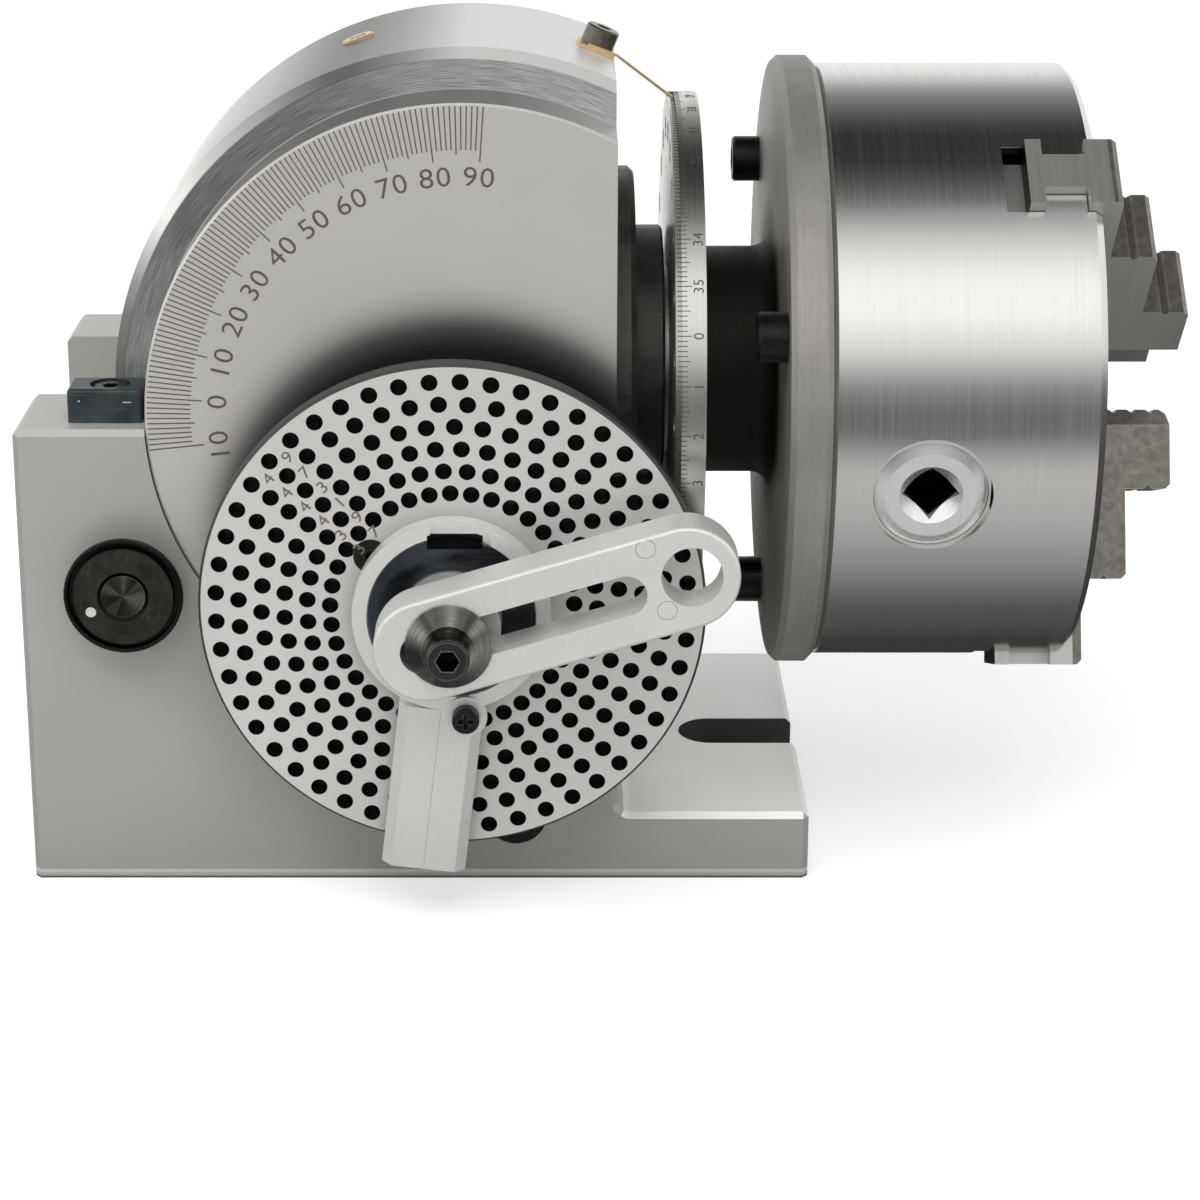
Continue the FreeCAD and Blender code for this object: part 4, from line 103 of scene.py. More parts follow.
class Finish:
    """The node tree of one material, with short calls for the nodes it needs."""

    def __init__(self, name, metallic=1.0):
        self.material = bpy.data.materials.new(name)
        self.material.use_nodes = True
        self.tree = self.material.node_tree
        self.shader = self.tree.nodes["Principled BSDF"]
        self.shader.inputs["Metallic"].default_value = metallic
        coordinates = self.add("ShaderNodeTexCoord")
        self.place = coordinates.outputs["Object"]
        self.normal = coordinates.outputs["Normal"]

    def add(self, kind, **settings):
        node = self.tree.nodes.new(kind)
        for key, value in settings.items():
            setattr(node, key, value)
        return node

    def feed(self, socket, value):
        """Puts a number, a tuple or another node's output on a socket."""
        if isinstance(value, bpy.types.NodeSocket):
            self.tree.links.new(value, socket)
        else:
            socket.default_value = value

    def math(self, operation, first, second=0.0):
        node = self.add("ShaderNodeMath", operation=operation)
        self.feed(node.inputs[0], first)
        self.feed(node.inputs[1], second)
        return node.outputs[0]

    def parts(self, vector):
        node = self.add("ShaderNodeSeparateXYZ")
        self.feed(node.inputs[0], vector)
        return node.outputs[0], node.outputs[1], node.outputs[2]

    def vector(self, first, second, third):
        node = self.add("ShaderNodeCombineXYZ")
        for socket, value in zip(node.inputs, (first, second, third)):
            self.feed(socket, value)
        return node.outputs[0]

    def stretched(self, vector, scale):
        node = self.add("ShaderNodeVectorMath", operation="MULTIPLY")
        self.feed(node.inputs[0], vector)
        node.inputs[1].default_value = scale
        return node.outputs[0]

    def noise(self, vector, scale, detail=3.0, roughness=0.55):
        node = self.add("ShaderNodeTexNoise")
        self.feed(node.inputs["Vector"], vector)
        node.inputs["Scale"].default_value = scale
        node.inputs["Detail"].default_value = detail
        node.inputs["Roughness"].default_value = roughness
        return node.outputs["Fac"]

    def spread(self, value, low, high, start=0.3, end=0.7):
        """Maps start..end of a value onto low..high, without going past either."""
        node = self.add("ShaderNodeMapRange")
        self.feed(node.inputs["Value"], value)
        node.inputs["From Min"].default_value = start
        node.inputs["From Max"].default_value = end
        self.feed(node.inputs["To Min"], low)
        self.feed(node.inputs["To Max"], high)
        return node.outputs["Result"]

    def ramp(self, value, stops):
        """A grey tone that runs smoothly through stops of (place from 0 to 1, tone)."""
        node = self.add("ShaderNodeValToRGB")
        marks = node.color_ramp.elements
        while len(marks) < len(stops):
            marks.new(0.5)
        for mark, (where, tone) in zip(marks, stops):
            mark.position = where
            mark.color = (tone, tone, tone, 1.0)
        self.feed(node.inputs[0], value)
        return node.outputs["Color"]

    def times(self, colour, tone):
        node = self.add("ShaderNodeVectorMath", operation="MULTIPLY")
        self.feed(node.inputs[0], colour)
        self.feed(node.inputs[1], tone)
        return node.outputs[0]

    def within(self, value, low, high):
        """1 where a length in metres lies between low and high millimetres."""
        above = self.math("GREATER_THAN", value, low * MM)
        below = self.math("LESS_THAN", value, high * MM)
        return self.math("MULTIPLY", above, below)

    def beyond(self, value, limit):
        """1 where a length in metres is over a limit in millimetres."""
        return self.math("GREATER_THAN", value, limit * MM)

    def short_of(self, value, limit):
        """1 where a length in metres is under a limit in millimetres."""
        return self.math("LESS_THAN", value, limit * MM)

    def all_of(self, *shares):
        """1 where all the shares are 1."""
        whole = shares[0]
        for share in shares[1:]:
            whole = self.math("MULTIPLY", whole, share)
        return whole

    def mixed(self, share, first, second):
        node = self.add("ShaderNodeMix", data_type="RGBA")
        self.feed(node.inputs["Factor"], share)
        self.feed(node.inputs[6], first)
        self.feed(node.inputs[7], second)
        return node.outputs[2]

    def laid(self, under, over, pattern, share, start=0.3, end=0.7):
        """over laid on under as far as the pattern runs from start to end, up to that share."""
        return self.mixed(self.spread(pattern, 0.0, share, start, end), under, over)

    def clouded(self, colour, scale, contrast, detail=2.0):
        """The colour in soft clouds, as much lighter as darker."""
        clouds = self.noise(self.place, scale, detail)
        return self.laid(scaled(colour, 1.0 - contrast), scaled(colour, 1.0 + contrast), clouds, 1.0)

    def wound(self, radius, angle, along, pitch, turns):
        """Coordinates that draw a noise out into fine rings about an axis."""
        return self.vector(
            self.math("MULTIPLY", radius, pitch), self.math("MULTIPLY", along, pitch),
            self.math("MULTIPLY", angle, turns)
        )

    def polar(self, axis, centre):
        """Radius and angle about an axis through centre, and the place along it."""
        x, y, z = self.parts(self.place)
        across = {"x": (y, z), "y": (x, z)}[axis]
        along = {"x": x, "y": y}[axis]
        first = self.math("SUBTRACT", across[0], centre[0] * MM)
        second = self.math("SUBTRACT", across[1], centre[1] * MM)
        squares = [self.math("MULTIPLY", side, side) for side in (first, second)]
        square = self.math("ADD", *squares)
        return self.math("SQRT", square), self.math("ARCTAN2", second, first), along

    def edges(self, width=0.35):
        """1 along sharp edges and 0 on the flats."""
        bevel = self.add("ShaderNodeBevel", samples=4)
        bevel.inputs["Radius"].default_value = width * MM
        plain = self.add("ShaderNodeNewGeometry").outputs["Normal"]
        node = self.add("ShaderNodeVectorMath", operation="DOT_PRODUCT")
        self.feed(node.inputs[0], bevel.outputs[0])
        self.feed(node.inputs[1], plain)
        return self.spread(node.outputs["Value"], 1.0, 0.0, 0.75, 0.99)

    def hollow(self, reach):
        """1 in the open, falling towards 0 where other metal stands close in front of the surface."""
        node = self.add("ShaderNodeAmbientOcclusion", samples=8)
        node.inputs["Distance"].default_value = reach * MM
        return node.outputs["AO"]

    def bump(self, height, distance, strength=1.0, under=None):
        node = self.add("ShaderNodeBump")
        node.inputs["Strength"].default_value = strength
        node.inputs["Distance"].default_value = distance * MM
        self.feed(node.inputs["Height"], height)
        if under is not None:
            self.feed(node.inputs["Normal"], under)
        return node.outputs["Normal"]

    def done(self, colour, roughness, normal=None):
        self.feed(self.shader.inputs["Base Color"], colour)
        self.feed(self.shader.inputs["Roughness"], roughness)
        if normal is not None:
            self.feed(self.shader.inputs["Normal"], normal)
        return self.material


def scaled(colour, share):
    return tuple(min(1.0, channel * share) for channel in colour[:3]) + (1.0,)


def flat_ground(name, colour, roughness, scale, metallic):
    """Surface-ground metal: fine straight grain, a few longer scratches, faint clouds of tone."""
    web = Finish(name, metallic)
    grain = web.noise(web.stretched(web.place, scale), 1.0, 4.0, 0.65)
    lines = web.laid(web.clouded(colour, 38.0, 0.06), scaled(colour, 0.868), grain, 0.35)
    # Edges brighter: partly wear, partly painted highlight.
    worn = web.mixed(web.edges(0.25), lines, scaled(colour, 1.25))
    rough = web.spread(grain, roughness - 0.05, roughness + 0.06)
    return web.done(worn, rough, web.bump(grain, 0.004))


def ink(name, colour, roughness=0.55):
    """Ink or paint in engraved lines: dull, hardly metal."""
    return flat_ground(name, colour, roughness, (60.0, 60.0, 60.0), 0.1)


def jaw_steel(name, colour):
    """The jaws: ground steel, painted shade on the upper jaws' faces that look up and a darker mottled
    painted shade on their steps, painted shadow black at the back, edges a little brighter as wear and
    painted highlight.
    """
    web = Finish(name, 0.82)
    x, y, _ = web.parts(web.place)
    sideways, _, upward = web.parts(web.normal)
    on_upper_jaw = web.math("LESS_THAN", y, 0.0)
    grain = web.noise(web.stretched(web.place, (900.0, 60.0, 60.0)), 1.0, 4.0, 0.65)
    step_mottle = web.noise(web.place, 520.0, 4.0, 0.65)
    plain = web.laid(colour, scaled(colour, 0.88), grain, 0.3)
    # Painted shade: the upper jaws' faces that look up are darkened.
    up_shade = web.math("MULTIPLY", web.spread(upward, 0.0, 1.0, 0.3, 0.5), on_upper_jaw)
    dull = web.mixed(up_shade, plain, scaled(colour, 0.62))
    # Painted shade, mottled: the upper jaws' up-facing steps are darkened to a grey.
    painted_step_shade = web.laid(shade(112, 108, 100), shade(150, 146, 138), step_mottle, 1.0)
    on_steps = web.all_of(web.beyond(x, JAW_STEPS_FROM), web.math("GREATER_THAN", upward, 0.3), on_upper_jaw)
    # Edges a little brighter: partly wear, partly painted highlight.
    worn = web.mixed(web.edges(0.25), web.mixed(on_steps, dull, painted_step_shade), scaled(colour, 1.05))
    # Painted shadow: the jaws' back faces are coloured near black.
    at_back = web.all_of(web.short_of(x, JAW_BACK_TO), web.math("LESS_THAN", sideways, -0.6))
    whole = web.mixed(at_back, worn, scaled(colour, 0.015))
    return web.done(whole, web.spread(grain, 0.34, 0.45), web.bump(grain, 0.004))


def base_iron(name, colour):
    """The base: painted-smooth ground iron, edges brighter as wear and painted highlight, painted shade in
    its slots and on its bottom bevel, a painted shadow along the floor, painted light on the tops of its
    feet.
    """
    web = Finish(name, 0.35)
    x, y, z = web.parts(web.place)
    grain = web.noise(web.stretched(web.place, (60.0, 500.0, 1100.0)), 1.0, 4.0, 0.6)
    speckle = web.noise(web.place, 1900.0, 3.0, 0.6)
    lines = web.laid(web.clouded(colour, 24.0, 0.02), scaled(colour, 0.9), grain, 0.12)
    dotted = web.laid(lines, scaled(colour, 0.84), speckle, 0.22, 0.6, 0.74)
    _, _, upward = web.parts(web.normal)
    # Painted light: the tops of the feet are made 2.3 times lighter.
    foot_level = web.within(z, FOOT_HEIGHT - 1.3, FOOT_HEIGHT + 0.5)
    on_foot = web.all_of(foot_level, web.math("GREATER_THAN", upward, 0.6))
    foot_lit = web.mixed(on_foot, dotted, web.times(dotted, (2.3, 2.3, 2.3)))
    # Edges brighter: partly wear, partly painted highlight.
    rubbed_and_sheen = web.all_of(web.spread(web.edges(0.3), 0.0, 0.8, 0.2, 1.0), web.beyond(z, BASE_RUBBED_AND_SHEEN_FROM))
    # Painted shade: the bevel along the floor is darkened.
    bevelled = web.mixed(web.short_of(z, BASE_BEVEL_TOP), foot_lit, scaled(colour, 0.72))
    worn = web.mixed(rubbed_and_sheen, bevelled, scaled(colour, 1.45))
    # Painted shade: the inside of the slots is darkened.
    from_middle = web.math("ABSOLUTE", web.math("SUBTRACT", x, BASE_MIDDLE * MM))
    in_slot = web.all_of(
        web.short_of(web.math("ABSOLUTE", y), BASE_SLOT_HALF), web.beyond(from_middle, BASE_SLOTS_FROM),
        web.short_of(z, FOOT_HEIGHT - 0.05)
    )
    slotted = web.mixed(in_slot, worn, scaled(colour, 0.2))
    # Painted shadow: a near-black strip along the floor.
    whole = web.mixed(web.short_of(z, BASE_SHADOW_TOP), slotted, scaled(colour, 0.12))
    return web.done(whole, web.spread(grain, 0.42, 0.5), web.bump(speckle, 0.004))


def turned(name, colour, axis, roughness, depth=0.003, contrast=0.07, metallic=1.0, inside=()):
    """Turned metal: fine rings on faces and fine lines round the rim, with clouds of tone.

    inside holds (radius, start, end): nearer the axis than radius, between those places, it is painted near
    black as shade.
    """
    web = Finish(name, metallic)
    radius, angle, along = web.polar(*axis)
    grain = web.noise(web.wound(radius, angle, along, 2600.0, 1.6), 1.0, 3.0, 0.6)
    whole = web.laid(web.clouded(colour, 30.0, contrast), scaled(colour, 1.0 - 2.0 * contrast), grain, 0.3)
    for reach, start, end in inside:
        # Painted shade: inside these places the colour is near black.
        deep = web.all_of(web.short_of(radius, reach), web.within(along, start, end))
        whole = web.mixed(deep, whole, scaled(colour, 0.02))
    rough = web.spread(grain, roughness - 0.04, roughness + 0.05)
    return web.done(whole, rough, web.bump(grain, depth))


def cone_steel(name, colour, centre):
    """Blackened turned steel, with bright sheens painted round its axis as painted highlights, and edges much
    brighter as wear and painted highlight.
    """
    web = Finish(name, 1.0)
    radius, angle, along = web.polar("y", centre)
    sweep = web.noise(web.vector(web.math("COSINE", angle), web.math("SINE", angle), 0.0), 1.5, 1.0, 0.4)
    rings = web.noise(web.wound(radius, angle, along, 3200.0, 1.2), 1.0, 3.0, 0.6)
    # Painted highlight: bright sheens swept round the axis in the colour.
    sheen = web.laid(scaled(colour, 0.4), scaled(colour, 2.8), sweep, 1.0, 0.4, 0.68)
    ringed = web.laid(sheen, scaled(colour, 0.3), rings, 0.55)
    # Edges much brighter: partly wear, partly painted highlight.
    worn = web.mixed(web.edges(0.25), ringed, scaled(colour, 3.2))
    return web.done(worn, web.spread(rings, 0.2, 0.32), web.bump(rings, 0.004))


def in_ring_notch(web):
    """1 in the square notch at the top of the hub rings, where only shadow shows."""
    x, _, z = web.parts(web.place)
    radius, _, _ = web.polar("y", PLATE_CENTRE)
    bottom, top = (PLATE_CENTRE[1] + height for height in NOTCH_ABOVE_PLATE_CENTRE)
    inside = web.short_of(radius, NOTCH_RADIUS)
    return web.all_of(web.within(x, *NOTCH_SIDES), web.within(z, bottom, top), inside)


def blasted(name, colour, notched=False, circles=()):
    """Bead-blasted metal: small even dimples, dull, a little brighter along its edges as wear and painted
    highlight.

    circles holds the centres of the faint ejector circles left by the casting mould.
    """
    web = Finish(name, 0.7)
    dimple_size = 0.28
    dimples = web.noise(web.place, 1.0 / (dimple_size * MM), 2.0, 0.5)
    clouds = web.noise(web.place, 45.0, 2.0)
    speckle = web.laid(scaled(colour, 0.93), scaled(colour, 1.07), dimples, 1.0, 0.35, 0.65)
    tone = web.laid(speckle, scaled(colour, 0.86), clouds, 0.35)
    # Edges brighter: partly wear, partly painted highlight.
    worn = web.mixed(web.edges(0.3), tone, scaled(colour, 1.25))
    if notched:
        # Painted shadow: the notch is coloured near black.
        worn = web.mixed(in_ring_notch(web), worn, scaled(colour, 0.01))
    for centre in circles:
        radius, _, depth = web.polar("y", centre)
        on_line = web.within(radius, CIRCLE_RADIUS - CIRCLE_LINE, CIRCLE_RADIUS)
        on_circle = web.all_of(on_line, web.short_of(depth, CRANK_FRONT + 0.1))
        worn = web.mixed(on_circle, worn, scaled(colour, 0.52))
    return web.done(worn, web.spread(dimples, 0.42, 0.58), web.bump(dimples, 0.03))


def blackened(name, colour, edge_colour, roughness, metallic, edge_width=0.3, notched=False, socket=None):
    """Blackened steel: dark, slightly oily, bare and brighter along its edges as wear and painted highlight,
    and bare in a few fine scratches.

    socket is (centre, radius, front) of a key socket along y, painted near black inside as shade.
    """
    web = Finish(name, metallic)
    clouds = web.noise(web.place, 160.0, 4.0, 0.6)
    fine = web.noise(web.place, 2300.0, 2.0)
    scratches = web.noise(web.stretched(web.place, (90.0, 90.0, 2600.0)), 1.0, 2.0)
    tone = web.laid(scaled(colour, 0.7), scaled(colour, 1.5), clouds, 1.0)
    scratched = web.laid(tone, edge_colour, scratches, 0.35, 0.66, 0.76)
    # Edges brighter: partly wear, partly painted highlight.
    rubbed_and_sheen = web.math("MULTIPLY", web.edges(edge_width), web.spread(clouds, 0.25, 1.0, 0.35, 0.6))
    worn = web.mixed(rubbed_and_sheen, scratched, edge_colour)
    if notched:
        # Painted shadow: the notch is coloured near black.
        worn = web.mixed(in_ring_notch(web), worn, scaled(colour, 0.1))
    if socket:
        centre, reach, front = socket
        radius, _, depth = web.polar("y", centre)
        # Painted shade: the inside of the socket is coloured near black.
        inside = web.all_of(web.short_of(radius, reach), web.beyond(depth, front))
        worn = web.mixed(inside, worn, scaled(colour, 0.06))
    rough = web.spread(clouds, roughness - 0.08, roughness + 0.1)
    return web.done(worn, rough, web.bump(fine, 0.012))


def cast_iron(name, colour, hub_colour):
    """The backplate: scraped grey-brown iron with fine pits, its hub blackened."""
    web = Finish(name, 0.72)
    radius, angle, along = web.polar(*SPINDLE_AXIS)
    pits = web.noise(web.place, 1500.0, 3.0, 0.6)
    rings = web.noise(web.wound(radius, angle, along, 1900.0, 3.0), 1.0, 2.0)
    ringed = web.laid(web.clouded(colour, 70.0, 0.14, 3.0), scaled(colour, 0.76), rings, 0.4)
    speckled = web.laid(ringed, scaled(colour, 0.6), pits, 0.3, 0.58, 0.74)
    hub = web.spread(radius, 1.0, 0.0, *(reach * MM for reach in BACKPLATE_HUB_END))
    whole = web.mixed(hub, speckled, hub_colour)
    rough = web.spread(pits, 0.46, 0.62)
    return web.done(whole, rough, web.bump(pits, 0.03))


def head_iron(name, face_colour, ring_colour, drum_colour):
    """The swivelling head: a softly ground face with a painted shadow round the plate, a coarsely brushed
    ring and a turned drum with painted reflection bands, painted shade on the disc side.
    """
    web = Finish(name, 0.5)
    radius, angle, along = web.polar("y", (0.0, SWIVEL_HEIGHT))
    _, forward, _ = web.parts(web.normal)
    turn = web.spread(angle, 0.0, 1.0, 0.0, math.pi)
    facing = web.math("GREATER_THAN", web.math("ABSOLUTE", forward), 0.9)
    on_drum = web.beyond(radius, DRUM_FROM)
    on_ring = web.all_of(web.beyond(radius, RING_FROM), facing)

    grains = web.noise(web.place, 2100.0, 3.0, 0.6)
    fine = web.noise(web.stretched(web.place, (160.0, 1500.0, 1500.0)), 1.0, 3.0, 0.6)
    ground = web.laid(web.clouded(face_colour, 26.0, 0.03), scaled(face_colour, 0.86), fine, 0.1)
    dotted = web.laid(ground, scaled(face_colour, 0.8), grains, 0.16, 0.55, 0.72)
    # Painted shadow: the front face darkens towards the index plate's top edge.
    from_plate, _, _ = web.polar("y", PLATE_SHADOW_CENTRE)
    plate_shadow = web.ramp(web.spread(from_plate, 0.0, 1.0, *(reach * MM for reach in PLATE_SHADOW_REACH)), PLATE_SHADOW_TONES)
    in_front = web.all_of(facing, web.short_of(along, DISC_FRONT + 0.1))
    face = web.mixed(in_front, dotted, web.times(dotted, plate_shadow))

    brush_place = web.vector(web.math("MULTIPLY", radius, 8200.0), 0.0, web.math("MULTIPLY", angle, 9.0))
    brush = web.noise(brush_place, 1.0, 2.0, 0.6)
    brushed = web.laid(scaled(ring_colour, 0.52), scaled(ring_colour, 1.32), brush, 1.0, 0.36, 0.64)
    # Painted reflection: bands of tone round the ring by angle.
    ring = web.times(brushed, web.ramp(turn, RING_REFLECTION_TONES))

    lathe_place = web.vector(web.math("MULTIPLY", along, 2600.0), 0.0, web.math("MULTIPLY", angle, 1.5))
    lathe = web.noise(lathe_place, 1.0, 3.0)
    # Painted reflection: broad bands of tone round the drum by angle.
    drum = web.times(web.laid(drum_colour, scaled(drum_colour, 0.8), lathe, 0.14), web.ramp(turn, DRUM_REFLECTION_TONES))

    looks_out = web.math("LESS_THAN", web.math("ABSOLUTE", forward), 0.3)
    # Painted shade: the side of the disc is darkened by angle.
    on_side = web.all_of(web.within(radius, *DISC_SIDE), looks_out)
    sided = web.mixed(on_side, face, web.times(face, web.ramp(turn, SIDE_SHADE_TONES)))
    colour = web.mixed(on_drum, web.mixed(on_ring, sided, ring), drum)
    rough = web.math("ADD", web.spread(fine, 0.36, 0.42), web.math("MULTIPLY", on_ring, -0.04))
    ring_bump = web.bump(web.math("MULTIPLY", brush, on_ring), 0.03)
    return web.done(colour, rough, web.bump(grains, 0.004, under=ring_bump))


def plate_steel(name, colour):
    """The index plate: fine straight grain, holes painted near black as shade, its rim bevel darkened as
    painted shadow, painted shade where other metal stands close in front.
    """
    web = Finish(name, 0.45)
    radius, _, depth = web.polar("y", PLATE_CENTRE)
    grain = web.noise(web.stretched(web.place, (260.0, 900.0, 2600.0)), 1.0, 3.0, 0.6)
    speckle = web.noise(web.place, 2600.0, 2.0)
    lines = web.laid(web.clouded(colour, 34.0, 0.04), scaled(colour, 0.84), grain, 0.2)
    dotted = web.laid(lines, scaled(colour, 0.8), speckle, 0.35, 0.58, 0.72)
    # Painted shade: the plate's colour darkens where other metal stands close in front.
    shaded = web.mixed(web.spread(web.hollow(14.0), 0.55, 0.0, 0.5, 0.95), dotted, scaled(colour, 0.25))
    # Painted shade: the hole walls and floors are coloured near black.
    below_face = web.within(depth, PLATE_FRONT + 0.1, PLATE_FRONT + HOLE_DEPTH)
    in_hole = web.all_of(web.short_of(radius, PLATE_HOLES_TO), below_face)
    # Painted shadow: the rim bevel is darkened.
    rimmed = web.mixed(web.beyond(radius, PLATE_RIM_FROM), shaded, scaled(colour, 0.09))
    whole = web.mixed(in_hole, rimmed, scaled(colour, 0.012))
    rough = web.math("SUBTRACT", web.spread(grain, 0.38, 0.46), web.math("MULTIPLY", in_hole, 0.2))
    return web.done(whole, rough, web.bump(grain, 0.003))


def on_crank(along, across):
    """A place on the crank arm, from the worm's axis, as (x, z)."""
    lean = math.radians(CRANK_LEAN)
    return (PLATE_CENTRE[0] + along * math.cos(lean) - across * math.sin(lean),
            PLATE_CENTRE[1] + along * math.sin(lean) + across * math.cos(lean))


# Soft bands of painted shade and reflection: (place from 0 to 1, tone), outwards from the plate, or round the
# head from right to left
PLATE_SHADOW_CENTRE = (-0.96, 71.9)
PLATE_SHADOW_REACH = (40.0, 60.0)
PLATE_SHADOW_TONES = [(0.08, 0.03), (0.165, 0.05), (0.245, 0.1), (0.33, 0.17), (0.415, 0.33), (0.5, 0.58),
              (0.58, 0.78), (0.665, 0.91), (0.78, 1.0)]
RING_REFLECTION_TONES = [(0.45, 1.0), (0.52, 0.95), (0.555, 0.86), (0.59, 0.66), (0.625, 0.57), (0.66, 0.5),
              (0.75, 0.47), (0.82, 0.4), (0.86, 0.52), (0.92, 0.56), (0.96, 0.66)]
DRUM_REFLECTION_TONES = [(0.42, 0.78), (0.5, 0.74), (0.53, 0.5), (0.557, 0.32), (0.6, 0.17), (0.622, 0.17),
              (0.656, 0.31), (0.69, 0.48), (0.722, 0.6), (0.756, 0.7), (0.79, 0.9), (0.822, 1.0),
              (0.856, 0.64), (0.889, 0.36), (0.922, 0.24), (0.956, 0.24)]
SIDE_SHADE_TONES = [(0.36, 0.6), (0.42, 0.36), (0.46, 0.25), (0.58, 0.24), (0.66, 0.3), (0.72, 0.42), (0.78, 0.46),
              (0.86, 0.9), (0.9, 1.0)]

SPINDLE_AXIS = ("x", (0.0, SWIVEL_HEIGHT))
OILER_AXIS = ("y", (0.0, 160.0))
PALE = shade(249, 249, 245)

FINISHES = {
    "base_iron": base_iron("base_iron", shade(190, 189, 184)),
    "head_iron": head_iron("head_iron", shade(220, 218, 213), shade(204, 205, 206), shade(251, 250, 247)),
    "ground_steel": flat_ground("ground_steel", shade(214, 213, 210), 0.34, (60.0, 60.0, 1400.0), 0.6),
    "plate_steel": plate_steel("plate_steel", shade(231, 230, 226)),
    "dial_steel": turned("dial_steel", shade(212, 212, 206), SPINDLE_AXIS, 0.28),
    "chuck_steel": turned("chuck_steel", shade(224, 223, 220), SPINDLE_AXIS, 0.22, 0.0003, 0.008,
                          inside=CHUCK_INSIDE),
    "pinion_steel": turned("pinion_steel", shade(234, 234, 232), SPINDLE_AXIS, 0.24, metallic=0.75,
                           inside=PINION_INSIDE),
    "jaw_steel": jaw_steel("jaw_steel", shade(224, 223, 218)),
    "blasted_steel": blasted("blasted_steel", PALE),
    "crank_steel": blasted("crank_steel", PALE, circles=[on_crank(*spot) for spot in CRANK_CIRCLES]),
    "notched_steel": blasted("notched_steel", PALE, notched=True),
    "black_steel": blackened("black_steel", shade(34, 36, 34), shade(118, 120, 118), 0.34, 0.75),
    "hub_black": blackened("hub_black", shade(68, 70, 65), shade(150, 152, 146), 0.44, 0.6),
    "worn_black": blackened("worn_black", shade(128, 122, 112), shade(210, 206, 196), 0.3, 0.9),
    "stud_black": cone_steel("stud_black", shade(74, 74, 68), KNOB_CENTRE),
    "screw_black": blackened("screw_black", shade(58, 58, 55), shade(214, 214, 208), 0.24, 0.95, 0.35,
                             socket=CRANK_SOCKET),
    "cone_steel": cone_steel("cone_steel", shade(112, 112, 108), PLATE_CENTRE),
    "vernier_black": blackened("vernier_black", shade(62, 71, 73), shade(140, 150, 150), 0.42, 0.5),
    "backplate_iron": cast_iron("backplate_iron", shade(172, 169, 163), shade(38, 39, 34)),
    "spring_steel": blackened("spring_steel", shade(62, 66, 72), shade(160, 164, 170), 0.22, 0.95,
                              notched=True),
    "brass": turned("brass", shade(226, 196, 152), OILER_AXIS, 0.32, metallic=0.75),
    "bronze": turned("bronze", shade(178, 140, 90), SPINDLE_AXIS, 0.32),
}

WEARS = {
    "base_iron": ["base_casting"],
    "head_iron": ["head_casting"],
    "ground_steel": ["spindle", "worm_shaft", "shaft_collar", "lock_pad", "index_pin", "scroll_plate",
                     "pinion_retainers", "thrust_washer", "wheel_key", "worm_sleeve", "oiler_ball"],
    "plate_steel": ["index_plate"],
    "dial_steel": ["dial"],
    "chuck_steel": ["chuck_body", "chuck_rear_cover"],
    "pinion_steel": ["pinion_1", "pinion_2", "pinion_3"],
    "jaw_steel": ["jaw_1", "jaw_2", "jaw_3"],
    "blasted_steel": ["sector_arm_left", "sector_washer"],
    "crank_steel": ["crank_arm"],
    "notched_steel": ["sector_arm_right"],
    "black_steel": ["nose_cover_screws", "lock_knob", "sector_screw", "backplate_screws",
                    "index_plate_screws", "release_lever", "vernier_screw", "clamp_washer", "clamp_nut",
                    "spindle_lock_screw", "spindle_lock_bar", "index_pin_knob", "locknut",
                    "rear_cover_screws"],
    "hub_black": ["nose_cover"],
    "worn_black": ["pointer_screw"],
    "stud_black": ["clamp_stud"],
    "screw_black": ["crank_screw"],
    "cone_steel": ["cone_washer"],
    "vernier_black": ["vernier_block"],
    "backplate_iron": ["backplate"],
    "spring_steel": ["spring_ring"],
    "brass": ["oil_cup", "pointer_clip", "pointer_wire"],
    "bronze": ["front_bush", "rear_bush", "worm_wheel"],
}

for finish_name, worn_by in WEARS.items():
    for node_name in worn_by:
        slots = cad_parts[node_name].data.materials
        if not slots:
            slots.append(FINISHES[finish_name])
        for index in range(len(slots)):
            slots[index] = FINISHES[finish_name]


# Scales and numbers

INK = ink("ink_brown", shade(100, 88, 77))
GREY_INK = ink("ink_grey", shade(66, 65, 61))
PALE_INK = ink("ink_pale", shade(118, 104, 90))
WHITE_INK = ink("ink_white", shade(214, 216, 212), 0.5)

PROUD = 0.025
SUNK = 0.12


def on_front(depth):
    """Lays flat shapes on a face that looks towards the viewer, its height growing that way."""
    return lambda u, v, h: Vector((u, depth - h, v)) * MM


def on_dial(u, v, h):
    """Lays flat shapes round the dial's rim: u along the spindle, v round the rim."""
    turn = v / DIAL_RADIUS
    radius = DIAL_RADIUS + h
    return Vector((u, -radius * math.cos(turn), SWIVEL_HEIGHT + radius * math.sin(turn))) * MM


